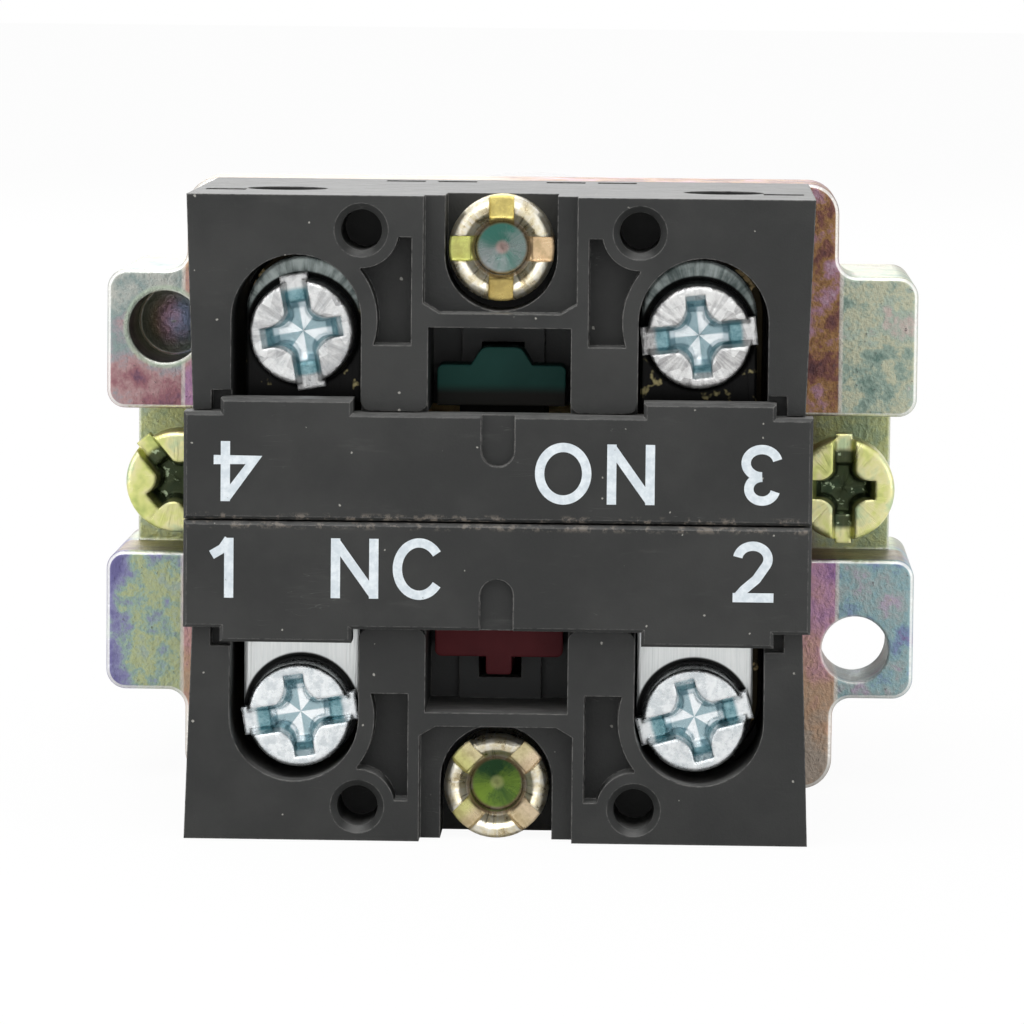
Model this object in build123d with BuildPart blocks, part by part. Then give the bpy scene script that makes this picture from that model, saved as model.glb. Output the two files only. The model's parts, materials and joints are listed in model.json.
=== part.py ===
from build123d import *
from math import atan2, cos, degrees, radians, sin
import os

# Panel push button, 22 mm size: operator head in front of the panel, die-cast fixing collar behind it,
# and one normally open and one normally closed contact block screwed to the collar's rear.
# Frame: origin on the barrel's axis in the panel's front face, +Y to the rear, +Z up, button faces -Y.
# Millimetres. "radius", "height", "depth" are sizes; names ending in _y are places along the axis.

# ---- clearances ----
slide_gap = 0.08        # radial gap of a part that slides or turns in its guide
thread_gap = 0.05       # radial gap between a screw and its tapped hole
seat_gap = 0.1          # gap between pieces that are fitted by hand
press_gap = 0.02        # radial gap drawn at a pressed or snapped joint

# ---- panel and operator head ----
panel_thickness = 3.0
button_travel = 4.3
barrel_radius = 11.0
gasket_thickness = 1.0
gasket_width = 2.4
flange_radius = 12.8
flange_thickness = 6.7
bezel_radius = 14.0
bezel_height = 11.0
bezel_rounding = 1.3
cap_radius = 10.5
cap_thickness = 1.6
cap_wall = 1.2
cap_drop = 0.4          # how far the cap's face lies below the bezel's rim
cap_guide = 1.4         # length of skirt inside the flange at rest
cap_rounding = 0.5
stem_radius = 6.0
stem_wall = 1.5
boss_wall = 0.95
boss_length = 3.0
seal_height = 0.75
seal_depth = 0.65
web_y = 8.0             # front face of the barrel's inner web, which carries the return spring
web_thickness = 2.0
ring_thickness = 0.9
ring_radius = 7.4
ring_groove = 0.7
spring_bore_radius = 8.8
rear_bore_radius = 8.6
return_coil_radius = 7.6
return_wire_radius = 0.4
return_turns = 6.5
pusher_plate_radius = 8.2
pusher_plate_thickness = 2.2
key_width = 3.0
key_height = 1.0
key_length = 3.0

# ---- bayonet between barrel and collar ----
lug_thickness = 2.5
lug_width = 8.0
lug_height = 0.9
lip_thickness = 2.0
lug_y = 14.7            # front face of the collar's lugs

# ---- fixing collar ----
collar_side = 1.55      # collar's width beyond the block on each side
collar_corner = 1.5
collar_rim_rounding = 0.25
collar_plate = 5.0
collar_rear_y = 26.0
hub_radius = 13.4
hub_length = 10.0
ear_reach = 3.95        # how far each ear stands out beside the collar
ear_height = 20.9
ear_depth = 12.0
ear_corner = 1.0
ear_fillet = 0.9
ear_notch_width = 7.1
ear_notch_depth = 5.5
ear_end_step = 1.1      # depth of the deeper cut at the ear's outer end
ear_notch_rounding = 0.9
pusher_opening_radius = 8.8
ear_hole_radius = 1.65
ear_hole_inset = 2.87   # both holes' axes from the ear's end
ear_hole_rise = 2.45    # through hole's axis from the ear's lower edge
ear_hole_length = 5.4   # ear's thickness round the through hole; cut away in front of it
ear_step_width = 4.85   # the thinner corner, from the ear's end and from its lower edge
ear_step_height = 5.4
blind_hole_radius = 1.8
blind_hole_drop = 2.85  # blind hole's axis from the ear's upper edge
blind_hole_depth = 5.4
blind_dome = 0.35

# ---- jack screws ----
jack_inset = 3.55       # screw's axis from the ear's end
jack_radius = 1.45
jack_head_radius = 2.5
jack_head_height = 2.4
jack_proud = 1.0        # head's rear face beyond the collar's rear face
jack_slot = 1.13
jack_slot_slope = 11.6
jack_bar_length = 5.4   # metal pushed out of the rim at the slot's ends
jack_bar_width = 0.8
jack_bar_height = 0.9
jack_cross_length = 3.1
jack_tip_chamfer = 0.5

# ---- contact blocks: u runs across, v away from the seam between the blocks, w along +Y ----
block_width = 29.0
block_draft = 0.35      # how much narrower each side is beside the cover
block_height = 15.0
block_depth = 20.0
seam_gap = 0.05         # each block's share of the gap between them
cover_height = 5.0      # seam to the cover's edge
cover_proud = 1.0       # cover's face beyond the terrace
cover_thickness = 1.8
cover_tab_in = 2.7      # tab's ends from the terminal's middle
cover_tab_out = 3.4
cover_tab_length = 0.65
cover_notch_width = 1.55
cover_notch_length = 2.4
cover_notch_depth = 0.4
wall = 0.95             # housing wall along the seam
base_thickness = 2.0
base_reach = 2.7        # base plate's edge beyond the terminal's middle
base_height = 9.3
rear_edge_chamfer = 0.15
post_rounding = 0.5     # corners of the posts between window and terminals, beside the cover

# terminals
terminal_inset = 5.1    # recess's middle from the block's side
terminal_v = 9.25
recess_radius = 3.0
strip_thickness = 1.0
strip_depth = 10.0      # terrace to the rear face of the fixed contact strip
strip_play = 0.15
wire_radius_entry = 1.9
wire_offset = 0.9       # wire entry beyond the terminal's middle, towards the block's side
screw_inset = 0.2       # screw's axis from the recess's middle, towards the window
screw_hang = {"no": 0.65, "nc": 0.0}    # the same, towards the cover
screw_head_radius = 2.42
screw_head_height = 2.3
screw_edge_rounding = 0.25
screw_below_terrace = 0.6
screw_radius = 1.45
screw_length = 7.5
screw_slot = 1.3        # slot's width at the head's face
screw_slot_depth = 0.85
screw_slot_slope = 18.0
screw_bar_length = 5.37
screw_bar_height = 0.9
screw_cross_length = 3.9
screw_cross_width = 0.95
screw_star_length = 2.2
screw_star_width = 0.6
screw_recess_depth = 1.5
screw_cross_sweep = 0.75  # inner corners' rounding as a share of the arm's length
clamp_thickness = 1.9
clamp_dish = 0.25
clamp_dish_gap = 0.15   # dish round the screw's head
clamp_shift = {"no": 0.1, "nc": -0.25}  # clamp's middle from the recess's middle, away from the cover
clamp_length = 6.8
clamp_hole_gap = 0.15
slot_angles = {1: 9.0, 2: 15.0, 3: 6.0, 4: 100.0}

# block fixing screw, stacking sockets and moulded pockets
fixing_inset = 2.45     # screw's axis from the block's outer edge
fixing_radius = 1.45
fixing_head_radius = 2.45
fixing_head_height = 3.0
fixing_below_terrace = 1.0
fixing_hole_gap = 0.15
fixing_bowl_radius = 1.75
fixing_bowl_depth = 0.7
fixing_centre_radius = 1.25
fixing_centre_depth = 1.1
fixing_slot = 1.14
fixing_slot_start = 1.4
fixing_slot_depth = 0.8
fixing_engagement = 5.5
pocket_half_width = 3.55
pocket_deep_half_width = 2.6
pocket_deep_reach = 2.9 # deep pocket's end from the screw's axis
pocket_reach = 2.95     # shallow pocket's end from the screw's axis
pocket_shoulder_reach = 2.5
pocket_shelf_depth = 1.2
socket_u = 6.43
socket_inset = 1.6      # from the block's outer edge
socket_radius = 0.95
socket_depth = 4.0
socket_chamfer = 0.3
peg_length = 2.8
peg_gap = 0.1
peg_hole_gap = 0.3      # pegs stand loosely in the collar's holes
coring_depth = 1.5
coring_side = 4.1
coring_start = 8.1
coring_inset = 1.9
coring_wall = 0.75      # left round the terminal recess
coring_socket_wall = 0.8
side_slot_width = 1.9
side_slot_height = 1.4
side_slot_depth = 1.2
side_slot_inset = 1.4
side_slot_places = ((2.65, 28.1), (5.15, 28.1))
side_slot_y = 39.3

# plunger, bridge and springs
window_half_width = 3.3
window_end = 8.95
stem_half_width = 2.0
stem_start = 1.3
stem_end = 6.1
plunger_length = 20.0
plunger_reach = 4.4     # how far the plunger stands out of the block's front
bar_half_width = 3.0
bar_start = 5.1
bar_ends = {"no": 7.0, "nc": 6.7}
bar_thickness = 2.1
tab_half_width = 0.6
tab_end = 7.54
hump_half_width_low = 1.5
hump_half_width_high = 0.9
hump_end = 7.84
hump_rounding = 0.5
tab_rounding = 0.15
bar_rounding = 0.3
post_start = 6.75
post_end = 7.4
ledge_start = 6.35
ledge_thickness = 1.2
ledge_step = 0.5
ledge_slot_half_width = 1.0
ledge_slot_end = 7.95
ledge_step_u = 1.95
foot_half_width = 1.3
foot_end = 8.6
foot_thickness = 1.2
foot_above_base = 1.5
plunger_coil_radius = 1.2
plunger_coil_v = 7.55
plunger_wire_radius = 0.13
plunger_turns = 7.5
bridge_v = 3.2
bridge_end = 3.2        # bridge's end from the terminal's middle
bridge_width = 2.4
bridge_thickness = 0.6
tip_radius = 1.0
tip_height = 0.5
contact_coil_radius = 0.82
contact_wire_radius = 0.13
contact_turns = 4.5
contact_spring_length = 3.1
chamber_end_gap = 1.3   # beyond the bridge's end
arm_lap = 0.9           # how far the fixed strip reaches past the middle of its tip
arm_step = 2.6          # how much deeper the normally closed contact's arm lies
no_contact_gap = 2.6
nc_overtravel = 1.5     # the normally closed plunger's travel before it lifts the bridge
hold_down_width = 2.4

# ---- places across that follow from the sizes ----
collar_width = block_width + 2 * collar_side
collar_height = 2 * block_height
ear_span = collar_width + 2 * ear_reach
ear_floor_span = ear_span - 2 * ear_end_step
ear_hole_x = ear_span / 2 - ear_hole_inset
ear_hole_z = ear_height / 2 - ear_hole_rise
blind_hole_z = ear_height / 2 - blind_hole_drop
jack_x = ear_span / 2 - jack_inset
terminal_u = block_width / 2 - terminal_inset
screw_u = terminal_u - screw_inset
wire_u = terminal_u + wire_offset
clamp_half = recess_radius - screw_inset - seat_gap
cover_tab_start = terminal_u - cover_tab_in
cover_tab_end = terminal_u + cover_tab_out
base_width = 2 * (terminal_u + base_reach)
bridge_half_length = terminal_u - bridge_end
tip_u = bridge_half_length - tip_radius
arm_inner_u = tip_u - arm_lap
chamber_half_width = bridge_half_length + chamber_end_gap
fixing_v = block_height - fixing_inset
socket_v = block_height - socket_inset

# ---- places along the axis that follow from the sizes ----
head_seat_y = -gasket_thickness
flange_front_y = head_seat_y - flange_thickness
bezel_front_y = head_seat_y - bezel_height
cap_front_y = bezel_front_y + cap_drop
cap_floor_y = cap_front_y + cap_thickness
skirt_rear_y = flange_front_y + cap_guide
cap_bore_floor_y = skirt_rear_y + button_travel + 2 * seat_gap
web_rear_y = web_y + web_thickness
ring_y = web_rear_y + seat_gap
lug_rear_y = lug_y + lug_thickness
barrel_rear_y = lug_rear_y + lip_thickness
shoulder_y = barrel_rear_y + 2 * seat_gap
ear_front_y = collar_rear_y - ear_depth
plate_front_y = collar_rear_y - collar_plate
hub_front_y = plate_front_y - hub_length
band_y = collar_rear_y + block_depth
terrace_y = band_y - cover_proud
cover_seat_y = band_y - cover_thickness
strip_rear_y = terrace_y - strip_depth + strip_thickness
strip_front_y = strip_rear_y - strip_thickness
chamber_front_y = collar_rear_y + base_thickness
plunger_front_y = collar_rear_y - plunger_reach
pusher_rear_y = plunger_front_y - seat_gap
screw_top_y = terrace_y - screw_below_terrace
screw_seat_y = screw_top_y - screw_head_height
clamp_rear_y = screw_seat_y + clamp_dish
clamp_front_y = clamp_rear_y - clamp_thickness
wire_y = strip_rear_y + wire_radius_entry
fixing_top_y = terrace_y - fixing_below_terrace
fixing_seat_y = fixing_top_y - fixing_head_height
ledge_rear_y = plunger_front_y + plunger_length - bar_thickness - seat_gap
stem_rear_y = cover_seat_y - button_travel - 3 * seat_gap
groove_radius = barrel_radius - lug_height
jack_front_y = panel_thickness
jack_seat_y = collar_rear_y + jack_proud - jack_head_height

os.makedirs("parts", exist_ok=True)


def save(builder, name):
    """Label a finished piece and write its STEP file."""
    builder.part.label = name
    export_step(builder.part, f"parts/{name}.step")


def along_axis(turn):
    """Workplane of a block: x across, y away from the seam, z to the rear. turn is 1 above, -1 below."""
    return Plane(origin=(0, 0, 0), x_dir=(-turn, 0, 0), z_dir=(0, 1, 0))


rear = along_axis(1)

# ================= operator head =================

# Die-cast barrel: flange under the bezel, guide bore for the cap, inner web, and a lip at the rear
# that the collar's lugs hook behind.
with BuildPart() as operator_barrel:
    with BuildSketch(Plane.XY):
        with BuildLine():
            Polyline(
                (cap_radius + slide_gap, flange_front_y),
                (flange_radius, flange_front_y),
                (flange_radius, head_seat_y),
                (barrel_radius, head_seat_y),
                (barrel_radius, lug_y - seat_gap),
                (groove_radius, lug_y - seat_gap),
                (groove_radius, lug_rear_y),
                (barrel_radius, lug_rear_y),
                (barrel_radius, barrel_rear_y),
                (rear_bore_radius, barrel_rear_y),
                (rear_bore_radius, web_rear_y),
                (stem_radius + slide_gap, web_rear_y),
                (stem_radius + slide_gap, web_y),
                (spring_bore_radius, web_y),
                (spring_bore_radius, cap_bore_floor_y),
                (cap_radius + slide_gap, cap_bore_floor_y),
                close=True,
            )
        make_face()
    revolve(axis=Axis.Y)
    # entry slots for the collar's lugs, above and below
    for side in (1, -1):
        with Locations((0, lug_rear_y, side * groove_radius)):
            Box(
                lug_width + 1.0,
                lip_thickness,
                2 * lug_height,
                align=(Align.CENTER, Align.MIN, Align.CENTER),
                mode=Mode.SUBTRACT,
            )
    # locating key for the notch in the panel's hole
    with Locations((0, head_seat_y, barrel_radius + key_height)):
        Box(
            key_width,
            key_length,
            key_height + 0.5,
            align=(Align.CENTER, Align.MIN, Align.MAX),
        )
save(operator_barrel, "operator_barrel")

# Bright bezel ring pressed over the flange.
with BuildPart() as bezel_ring:
    with BuildSketch(Plane.XY):
        with BuildLine():
            Polyline(
                (cap_radius + 5 * seat_gap, bezel_front_y),
                (bezel_radius, bezel_front_y),
                (bezel_radius, head_seat_y),
                (flange_radius + press_gap, head_seat_y),
                (flange_radius + press_gap, flange_front_y),
                (cap_radius + 5 * seat_gap, flange_front_y),
                close=True,
            )
        make_face()
    revolve(axis=Axis.Y)
    rim = bezel_ring.edges().filter_by(GeomType.CIRCLE).group_by(Axis.Y)[0].sort_by(SortBy.RADIUS)
    fillet(rim[-1], bezel_rounding)
    fillet(rim[0], bezel_rounding / 4)
save(bezel_ring, "bezel_ring")

# Rubber gasket between the head and the panel, notched for the key.
with BuildPart() as panel_gasket:
    with BuildSketch(Plane.XZ):
        Circle(barrel_radius + seat_gap + gasket_width)
        Circle(barrel_radius + seat_gap, mode=Mode.SUBTRACT)
        with Locations((0, barrel_radius)):
            Rectangle(key_width + 2 * seat_gap, 2 * (key_height + seat_gap), mode=Mode.SUBTRACT)
    extrude(amount=gasket_thickness)
save(panel_gasket, "panel_gasket")

# Moulded button cap with a skirt, a groove for its seal and a socket for the stem.
with BuildPart() as button_cap:
    seal_front_y = flange_front_y + seat_gap / 2
    with BuildSketch(Plane.XY):
        with BuildLine():
            Polyline(
                (0, cap_front_y),
                (cap_radius, cap_front_y),
                (cap_radius, seal_front_y - press_gap),
                (cap_radius - seal_depth, seal_front_y - press_gap),
                (cap_radius - seal_depth, seal_front_y + seal_height + press_gap),
                (cap_radius, seal_front_y + seal_height + press_gap),
                (cap_radius, skirt_rear_y),
                (cap_radius - cap_wall, skirt_rear_y),
                (cap_radius - cap_wall, cap_floor_y),
                (stem_radius + boss_wall, cap_floor_y),
                (stem_radius + boss_wall, cap_floor_y + boss_length),
                (stem_radius + press_gap, cap_floor_y + boss_length),
                (stem_radius + press_gap, cap_floor_y),
                (0, cap_floor_y),
                close=True,
            )
        make_face()
    revolve(axis=Axis.Y)
    cap_edge = button_cap.edges().filter_by(GeomType.CIRCLE).group_by(Axis.Y)[0].sort_by(SortBy.RADIUS)[-1]
    fillet(cap_edge, cap_rounding)
save(button_cap, "button_cap")

# Rubber seal ring in the cap's groove.
with BuildPart() as seal_ring:
    with BuildSketch(Plane.XZ.offset(-seal_front_y)):
        Circle(cap_radius + slide_gap / 2)
        Circle(cap_radius - seal_depth + press_gap, mode=Mode.SUBTRACT)
    extrude(amount=-seal_height)
save(seal_ring, "seal_ring")

# Hollow stem with a pressure plate that pushes both plungers.
with BuildPart() as pusher:
    plate_rear_y = pusher_rear_y
    plate_front_face_y = plate_rear_y - pusher_plate_thickness
    with BuildSketch(Plane.XY):
        with BuildLine():
            Polyline(
                (stem_radius - stem_wall, cap_floor_y),
                (stem_radius, cap_floor_y),
                (stem_radius, ring_y - press_gap),
                (stem_radius - ring_groove, ring_y - press_gap),
                (stem_radius - ring_groove, ring_y + ring_thickness + press_gap),
                (stem_radius, ring_y + ring_thickness + press_gap),
                (stem_radius, plate_front_face_y - 1.0),
                (pusher_plate_radius, plate_front_face_y),
                (pusher_plate_radius, plate_rear_y),
                (0, plate_rear_y),
                (0, plate_front_face_y),
                (stem_radius - stem_wall, plate_front_face_y),
                close=True,
            )
        make_face()
    revolve(axis=Axis.Y)
save(pusher, "pusher")

# Open steel ring in the stem's groove: it stops the button against the web.
with BuildPart() as retaining_ring:
    with BuildSketch(Plane.XZ.offset(-ring_y)):
        Circle(ring_radius)
        Circle(stem_radius - ring_groove + press_gap, mode=Mode.SUBTRACT)
        with Locations((0, -ring_radius)):
            Rectangle(stem_radius, 2 * (ring_radius - stem_radius + 2 * ring_groove), mode=Mode.SUBTRACT)
    extrude(amount=-ring_thickness)
save(retaining_ring, "retaining_ring")


def coil(name, place, radius, wire, turns, start, end):
    """A coil spring along Y at a place in X and Z, its ends a hair short of the faces it stands between."""
    clear = wire + seat_gap / 2
    height = end - start - 2 * clear
    with BuildPart() as spring:
        with BuildLine() as path:
            Helix(
                pitch=height / turns,
                height=height,
                radius=radius,
                center=(place.X, start + clear, place.Z),
                direction=(0, 1, 0),
            )
        with BuildSketch(Plane(origin=path.line @ 0, z_dir=path.line % 0)):
            Circle(wire)
        sweep(path=path.line, is_frenet=True)
    save(spring, name)


coil(
    "return_spring",
    Vector(0, 0, 0),
    return_coil_radius,
    return_wire_radius,
    return_turns,
    cap_floor_y,
    web_y,
)

# ================= fixing collar =================

# Die-cast collar: rear plate for the blocks, hub round the barrel, two ears with a notch for each
# jack screw, and two inner lugs that hook behind the barrel's lip.
with BuildPart(rear) as mounting_collar:
    with BuildSketch(rear.offset(plate_front_y)):
        RectangleRounded(collar_width, collar_height, collar_corner)
    extrude(amount=collar_plate)
    with BuildSketch(rear.offset(ear_front_y)):
        RectangleRounded(ear_span, ear_height, ear_corner)
    extrude(amount=ear_depth)
    inner_corners = (
        mounting_collar.edges()
        .filter_by(Axis.Y)
        .filter_by(lambda e: abs(abs(e.center().X) - collar_width / 2) < 0.01)
        .filter_by(lambda e: abs(abs(e.center().Z) - ear_height / 2) < 0.01)
    )
    side_room = (ear_span - collar_width) / 2 - ear_corner - seat_gap
    top_room = (collar_height - ear_height) / 2 - collar_corner - seat_gap
    fillet(inner_corners, min(ear_fillet, side_room, top_room))
    # notches for the jack screws, with a deeper cut at their outer end
    for side in (1, -1):
        notch_inner = jack_x - jack_head_radius - 5 * seat_gap
        with BuildSketch(rear.offset(collar_rear_y - ear_notch_depth)):
            with Locations((side * notch_inner, 0)):
                Rectangle(
                    ear_span / 2,
                    ear_notch_width,
                    align=(Align.MIN if side > 0 else Align.MAX, Align.CENTER),
                )
        extrude(amount=ear_notch_depth, mode=Mode.SUBTRACT)
        with BuildSketch(rear.offset(ear_front_y)):
            with Locations((side * ear_floor_span / 2, 0)):
                Rectangle(
                    ear_span / 2,
                    ear_notch_width,
                    align=(Align.MIN if side > 0 else Align.MAX, Align.CENTER),
                )
        extrude(amount=ear_depth, mode=Mode.SUBTRACT)
        with Locations((side * jack_x, 0, collar_rear_y - ear_notch_depth)):
            Hole(jack_radius + thread_gap, depth=ear_depth)
    notch_corners = (
        mounting_collar.edges()
        .filter_by(Axis.Y)
        .filter_by(lambda e: abs(abs(e.center().X) - ear_span / 2) < 0.01)
        .filter_by(lambda e: abs(abs(e.center().Z) - ear_notch_width / 2) < 0.01)
    )
    fillet(notch_corners, min(ear_notch_rounding, ear_end_step - seat_gap))
    rear_rim = mounting_collar.faces().sort_by(Axis.Y)[-1].outer_wire().edges()
    fillet(rear_rim, collar_rim_rounding)
    with BuildSketch(rear.offset(hub_front_y)):
        Circle(hub_radius)
    extrude(amount=hub_length)
    # bore for the barrel and opening for the pusher
    with BuildSketch(rear.offset(hub_front_y)):
        Circle(barrel_radius + seat_gap)
    extrude(amount=shoulder_y - hub_front_y, mode=Mode.SUBTRACT)
    with BuildSketch(rear.offset(shoulder_y)):
        Circle(pusher_opening_radius)
    extrude(amount=collar_rear_y - shoulder_y, mode=Mode.SUBTRACT)
    # lugs left and right inside the bore
    with BuildSketch(rear.offset(lug_y)):
        Rectangle(2 * (barrel_radius + 1.0), lug_width)
        Circle(groove_radius + seat_gap, mode=Mode.SUBTRACT)
    extrude(amount=lug_thickness)
    # tapped holes for the fixing screws and sockets for the blocks' pegs
    for turn in (1, -1):
        with Locations((0, turn * fixing_v, collar_rear_y)):
            Hole(fixing_radius + thread_gap, depth=fixing_engagement + 3 * seat_gap)
        with Locations(
            (socket_u, turn * socket_v, collar_rear_y),
            (-socket_u, turn * socket_v, collar_rear_y),
        ):
            Hole(socket_radius - peg_gap + peg_hole_gap, depth=peg_length + 4 * seat_gap)
    # through hole in one ear, in its thinner corner; domed blind hole in the opposite one
    with Locations((ear_hole_x, -ear_hole_z, collar_rear_y)):
        Hole(ear_hole_radius, depth=ear_depth)
    with Locations((ear_span / 2 - ear_step_width, -ear_height / 2 + ear_step_height, ear_front_y)):
        Box(
            2 * ear_step_width,
            2 * ear_step_height,
            ear_depth - ear_hole_length,
            align=(Align.MIN, Align.MAX, Align.MIN),
            mode=Mode.SUBTRACT,
        )
    with Locations((-ear_hole_x, blind_hole_z, collar_rear_y)):
        Hole(blind_hole_radius, depth=blind_hole_depth)
    dome_base = blind_hole_radius - seat_gap
    dome_radius = (dome_base**2 + blind_dome**2) / (2 * blind_dome)
    dome_angle = 90 - degrees(atan2(dome_base, dome_radius - blind_dome))
    with Locations((-ear_hole_x, blind_hole_z, collar_rear_y - blind_hole_depth)):
        Sphere(
            dome_radius,
            arc_size1=dome_angle,
            arc_size2=90,
            align=(Align.CENTER, Align.CENTER, Align.MIN),
        )
save(mounting_collar, "mounting_collar")


def slotted_head(face, slot, slope, cross):
    """Cut a slot with sloping sides and a cross recess that narrows to a star into a screw's head.

    face is the plane of the head's face, its x axis along the slot.
    """
    with BuildSketch(face) as slot_outline:
        Rectangle(3 * cross, slot)
    extrude(slot_outline.sketch, amount=-screw_slot_depth, taper=slope, mode=Mode.SUBTRACT)
    outlines = []
    for depth, length, width in (
        (0, cross, screw_cross_width),
        (screw_recess_depth, screw_star_length, screw_star_width),
    ):
        with BuildSketch(face.offset(-depth)) as outline:
            Rectangle(length, width)
            Rectangle(width, length)
            inner = outline.vertices().sort_by_distance((0, 0, 0))[0:4]
            fillet(inner, screw_cross_sweep * (length - width) / 2)
        outlines.append(outline.sketch)
    loft(outlines, ruled=True, mode=Mode.SUBTRACT)


# Two jack screws, one each side: their tips press on the panel's rear and draw the head tight.
for name, side, angle in (("jack_screw_left", -1, 130.0), ("jack_screw_right", 1, 90.0)):
    with BuildPart() as jack_screw:
        with BuildSketch(rear.offset(jack_front_y)):
            with Locations((side * jack_x, 0)):
                Circle(jack_radius)
        extrude(amount=jack_seat_y - jack_front_y)
        tip = jack_screw.edges().filter_by(GeomType.CIRCLE).sort_by(Axis.Y)[0]
        chamfer(tip, jack_tip_chamfer)
        with BuildSketch(rear.offset(jack_seat_y)):
            with Locations((side * jack_x, 0)):
                Circle(jack_head_radius)
        extrude(amount=jack_head_height)
        head = jack_screw.edges().filter_by(GeomType.CIRCLE).sort_by(Axis.Y)[-1]
        fillet(head, 0.3)
        head_face = Plane(rear * Location((side * jack_x, 0, jack_seat_y + jack_head_height), (0, 0, angle)))
        with Locations(head_face.offset(-screw_slot_depth)):
            Box(
                jack_bar_length,
                jack_bar_width,
                jack_bar_height,
                align=(Align.CENTER, Align.CENTER, Align.MAX),
            )
        slotted_head(head_face, jack_slot, jack_slot_slope, jack_cross_length)
    save(jack_screw, name)

# ================= contact blocks =================

for block, turn, numbers in (("no", 1, (4, 3)), ("nc", -1, (2, 1))):
    plane = along_axis(turn)
    closed = block == "nc"
    screw_v = terminal_v - screw_hang[block]
    bar_end = bar_ends[block]
    arm_front_y = strip_front_y - (arm_step if closed else 0)
    # rear face of the bridge strip at rest, and the slot that carries it in the plunger
    if closed:
        bridge_front_y = arm_front_y + strip_thickness + 2 * tip_height
        slot_front_y = bridge_front_y - nc_overtravel - seat_gap / 2
        slot_rear_y = bridge_front_y + bridge_thickness + contact_spring_length
        spring_front_y = bridge_front_y + bridge_thickness
    else:
        bridge_front_y = arm_front_y - 2 * tip_height - no_contact_gap - bridge_thickness
        slot_front_y = bridge_front_y - contact_spring_length
        slot_rear_y = bridge_front_y + bridge_thickness + seat_gap / 2
        spring_front_y = slot_front_y

    # Moulded housing: chamber under the cover, window over the plunger, two terminal recesses.
    with BuildPart(plane) as housing:
        with BuildSketch(plane.offset(collar_rear_y)):
            with BuildLine():
                Polyline(
                    (block_width / 2 - block_draft, seam_gap),
                    (block_width / 2 - block_draft, cover_height),
                    (block_width / 2, block_height),
                    (-block_width / 2, block_height),
                    (-block_width / 2 + block_draft, cover_height),
                    (-block_width / 2 + block_draft, seam_gap),
                    close=True,
                )
            make_face()
        extrude(amount=terrace_y - collar_rear_y)
        # seat of the cover and of its tabs
        with Locations((0, seam_gap, cover_seat_y)):
            Box(
                block_width + 2,
                cover_height - seam_gap + seat_gap / 2,
                cover_proud + cover_thickness,
                align=(Align.CENTER, Align.MIN, Align.MIN),
                mode=Mode.SUBTRACT,
            )
        # chamber for the bridge, and the window down to it
        with Locations((0, seam_gap + wall, chamber_front_y)):
            Box(
                2 * chamber_half_width,
                cover_height - seam_gap - wall,
                terrace_y - chamber_front_y,
                align=(Align.CENTER, Align.MIN, Align.MIN),
                mode=Mode.SUBTRACT,
            )
        with Locations((0, cover_height - seat_gap, chamber_front_y)):
            Box(
                2 * window_half_width,
                window_end - cover_height + seat_gap,
                terrace_y - chamber_front_y,
                align=(Align.CENTER, Align.MIN, Align.MIN),
                mode=Mode.SUBTRACT,
            )
        # guide ribs beside the stem and the slotted ledge over the return spring
        for side in (1, -1):
            with Locations((side * window_half_width, cover_height, chamber_front_y)):
                Box(
                    window_half_width - stem_half_width - seat_gap,
                    ledge_start - cover_height,
                    ledge_rear_y - ledge_step - chamber_front_y,
                    align=(Align.MAX if side > 0 else Align.MIN, Align.MIN, Align.MIN),
                )
            with Locations((side * window_half_width, ledge_start, ledge_rear_y - ledge_step)):
                Box(
                    window_half_width - ledge_slot_half_width,
                    window_end - ledge_start,
                    ledge_thickness - ledge_step,
                    align=(Align.MAX if side > 0 else Align.MIN, Align.MIN, Align.MAX),
                )
            with Locations((side * ledge_step_u, ledge_start, ledge_rear_y)):
                Box(
                    ledge_step_u - ledge_slot_half_width,
                    window_end - ledge_start,
                    ledge_step,
                    align=(Align.MAX if side > 0 else Align.MIN, Align.MIN, Align.MAX),
                )
        with Locations((0, ledge_slot_end, ledge_rear_y)):
            Box(
                2 * ledge_slot_half_width,
                window_end - ledge_slot_end,
                ledge_thickness,
                align=(Align.CENTER, Align.MIN, Align.MAX),
            )
        for side in (1, -1):
            # terminal recess, open towards the cover, and the channel of the contact strip
            with BuildSketch(plane.offset(strip_front_y)):
                with Locations((side * terminal_u, terminal_v)):
                    Circle(recess_radius)
                with Locations((side * terminal_u, cover_height - seat_gap)):
                    Rectangle(
                        2 * recess_radius,
                        terminal_v - cover_height + seat_gap,
                        align=(Align.CENTER, Align.MIN),
                    )
                with Locations((side * chamber_half_width, seam_gap + wall)):
                    Rectangle(
                        terminal_u + recess_radius - chamber_half_width,
                        cover_height - seam_gap - wall,
                        align=(Align.MIN if side > 0 else Align.MAX, Align.MIN),
                    )
            extrude(amount=terrace_y - strip_front_y, mode=Mode.SUBTRACT)
            with Locations((side * cover_tab_start, cover_height, cover_seat_y)):
                Box(
                    cover_tab_end - cover_tab_start + 5 * seat_gap,
                    cover_tab_length + 3 * seat_gap,
                    cover_thickness,
                    align=(Align.MIN if side > 0 else Align.MAX, Align.MIN, Align.MIN),
                    mode=Mode.SUBTRACT,
                )
            # well for the screw's end
            with Locations((side * screw_u, screw_v, strip_front_y)):
                screw_drop = clamp_front_y - strip_rear_y
                Hole(
                    screw_radius + 4 * thread_gap,
                    depth=screw_length - (screw_seat_y - strip_front_y) + screw_drop + 2 * seat_gap,
                )
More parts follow.
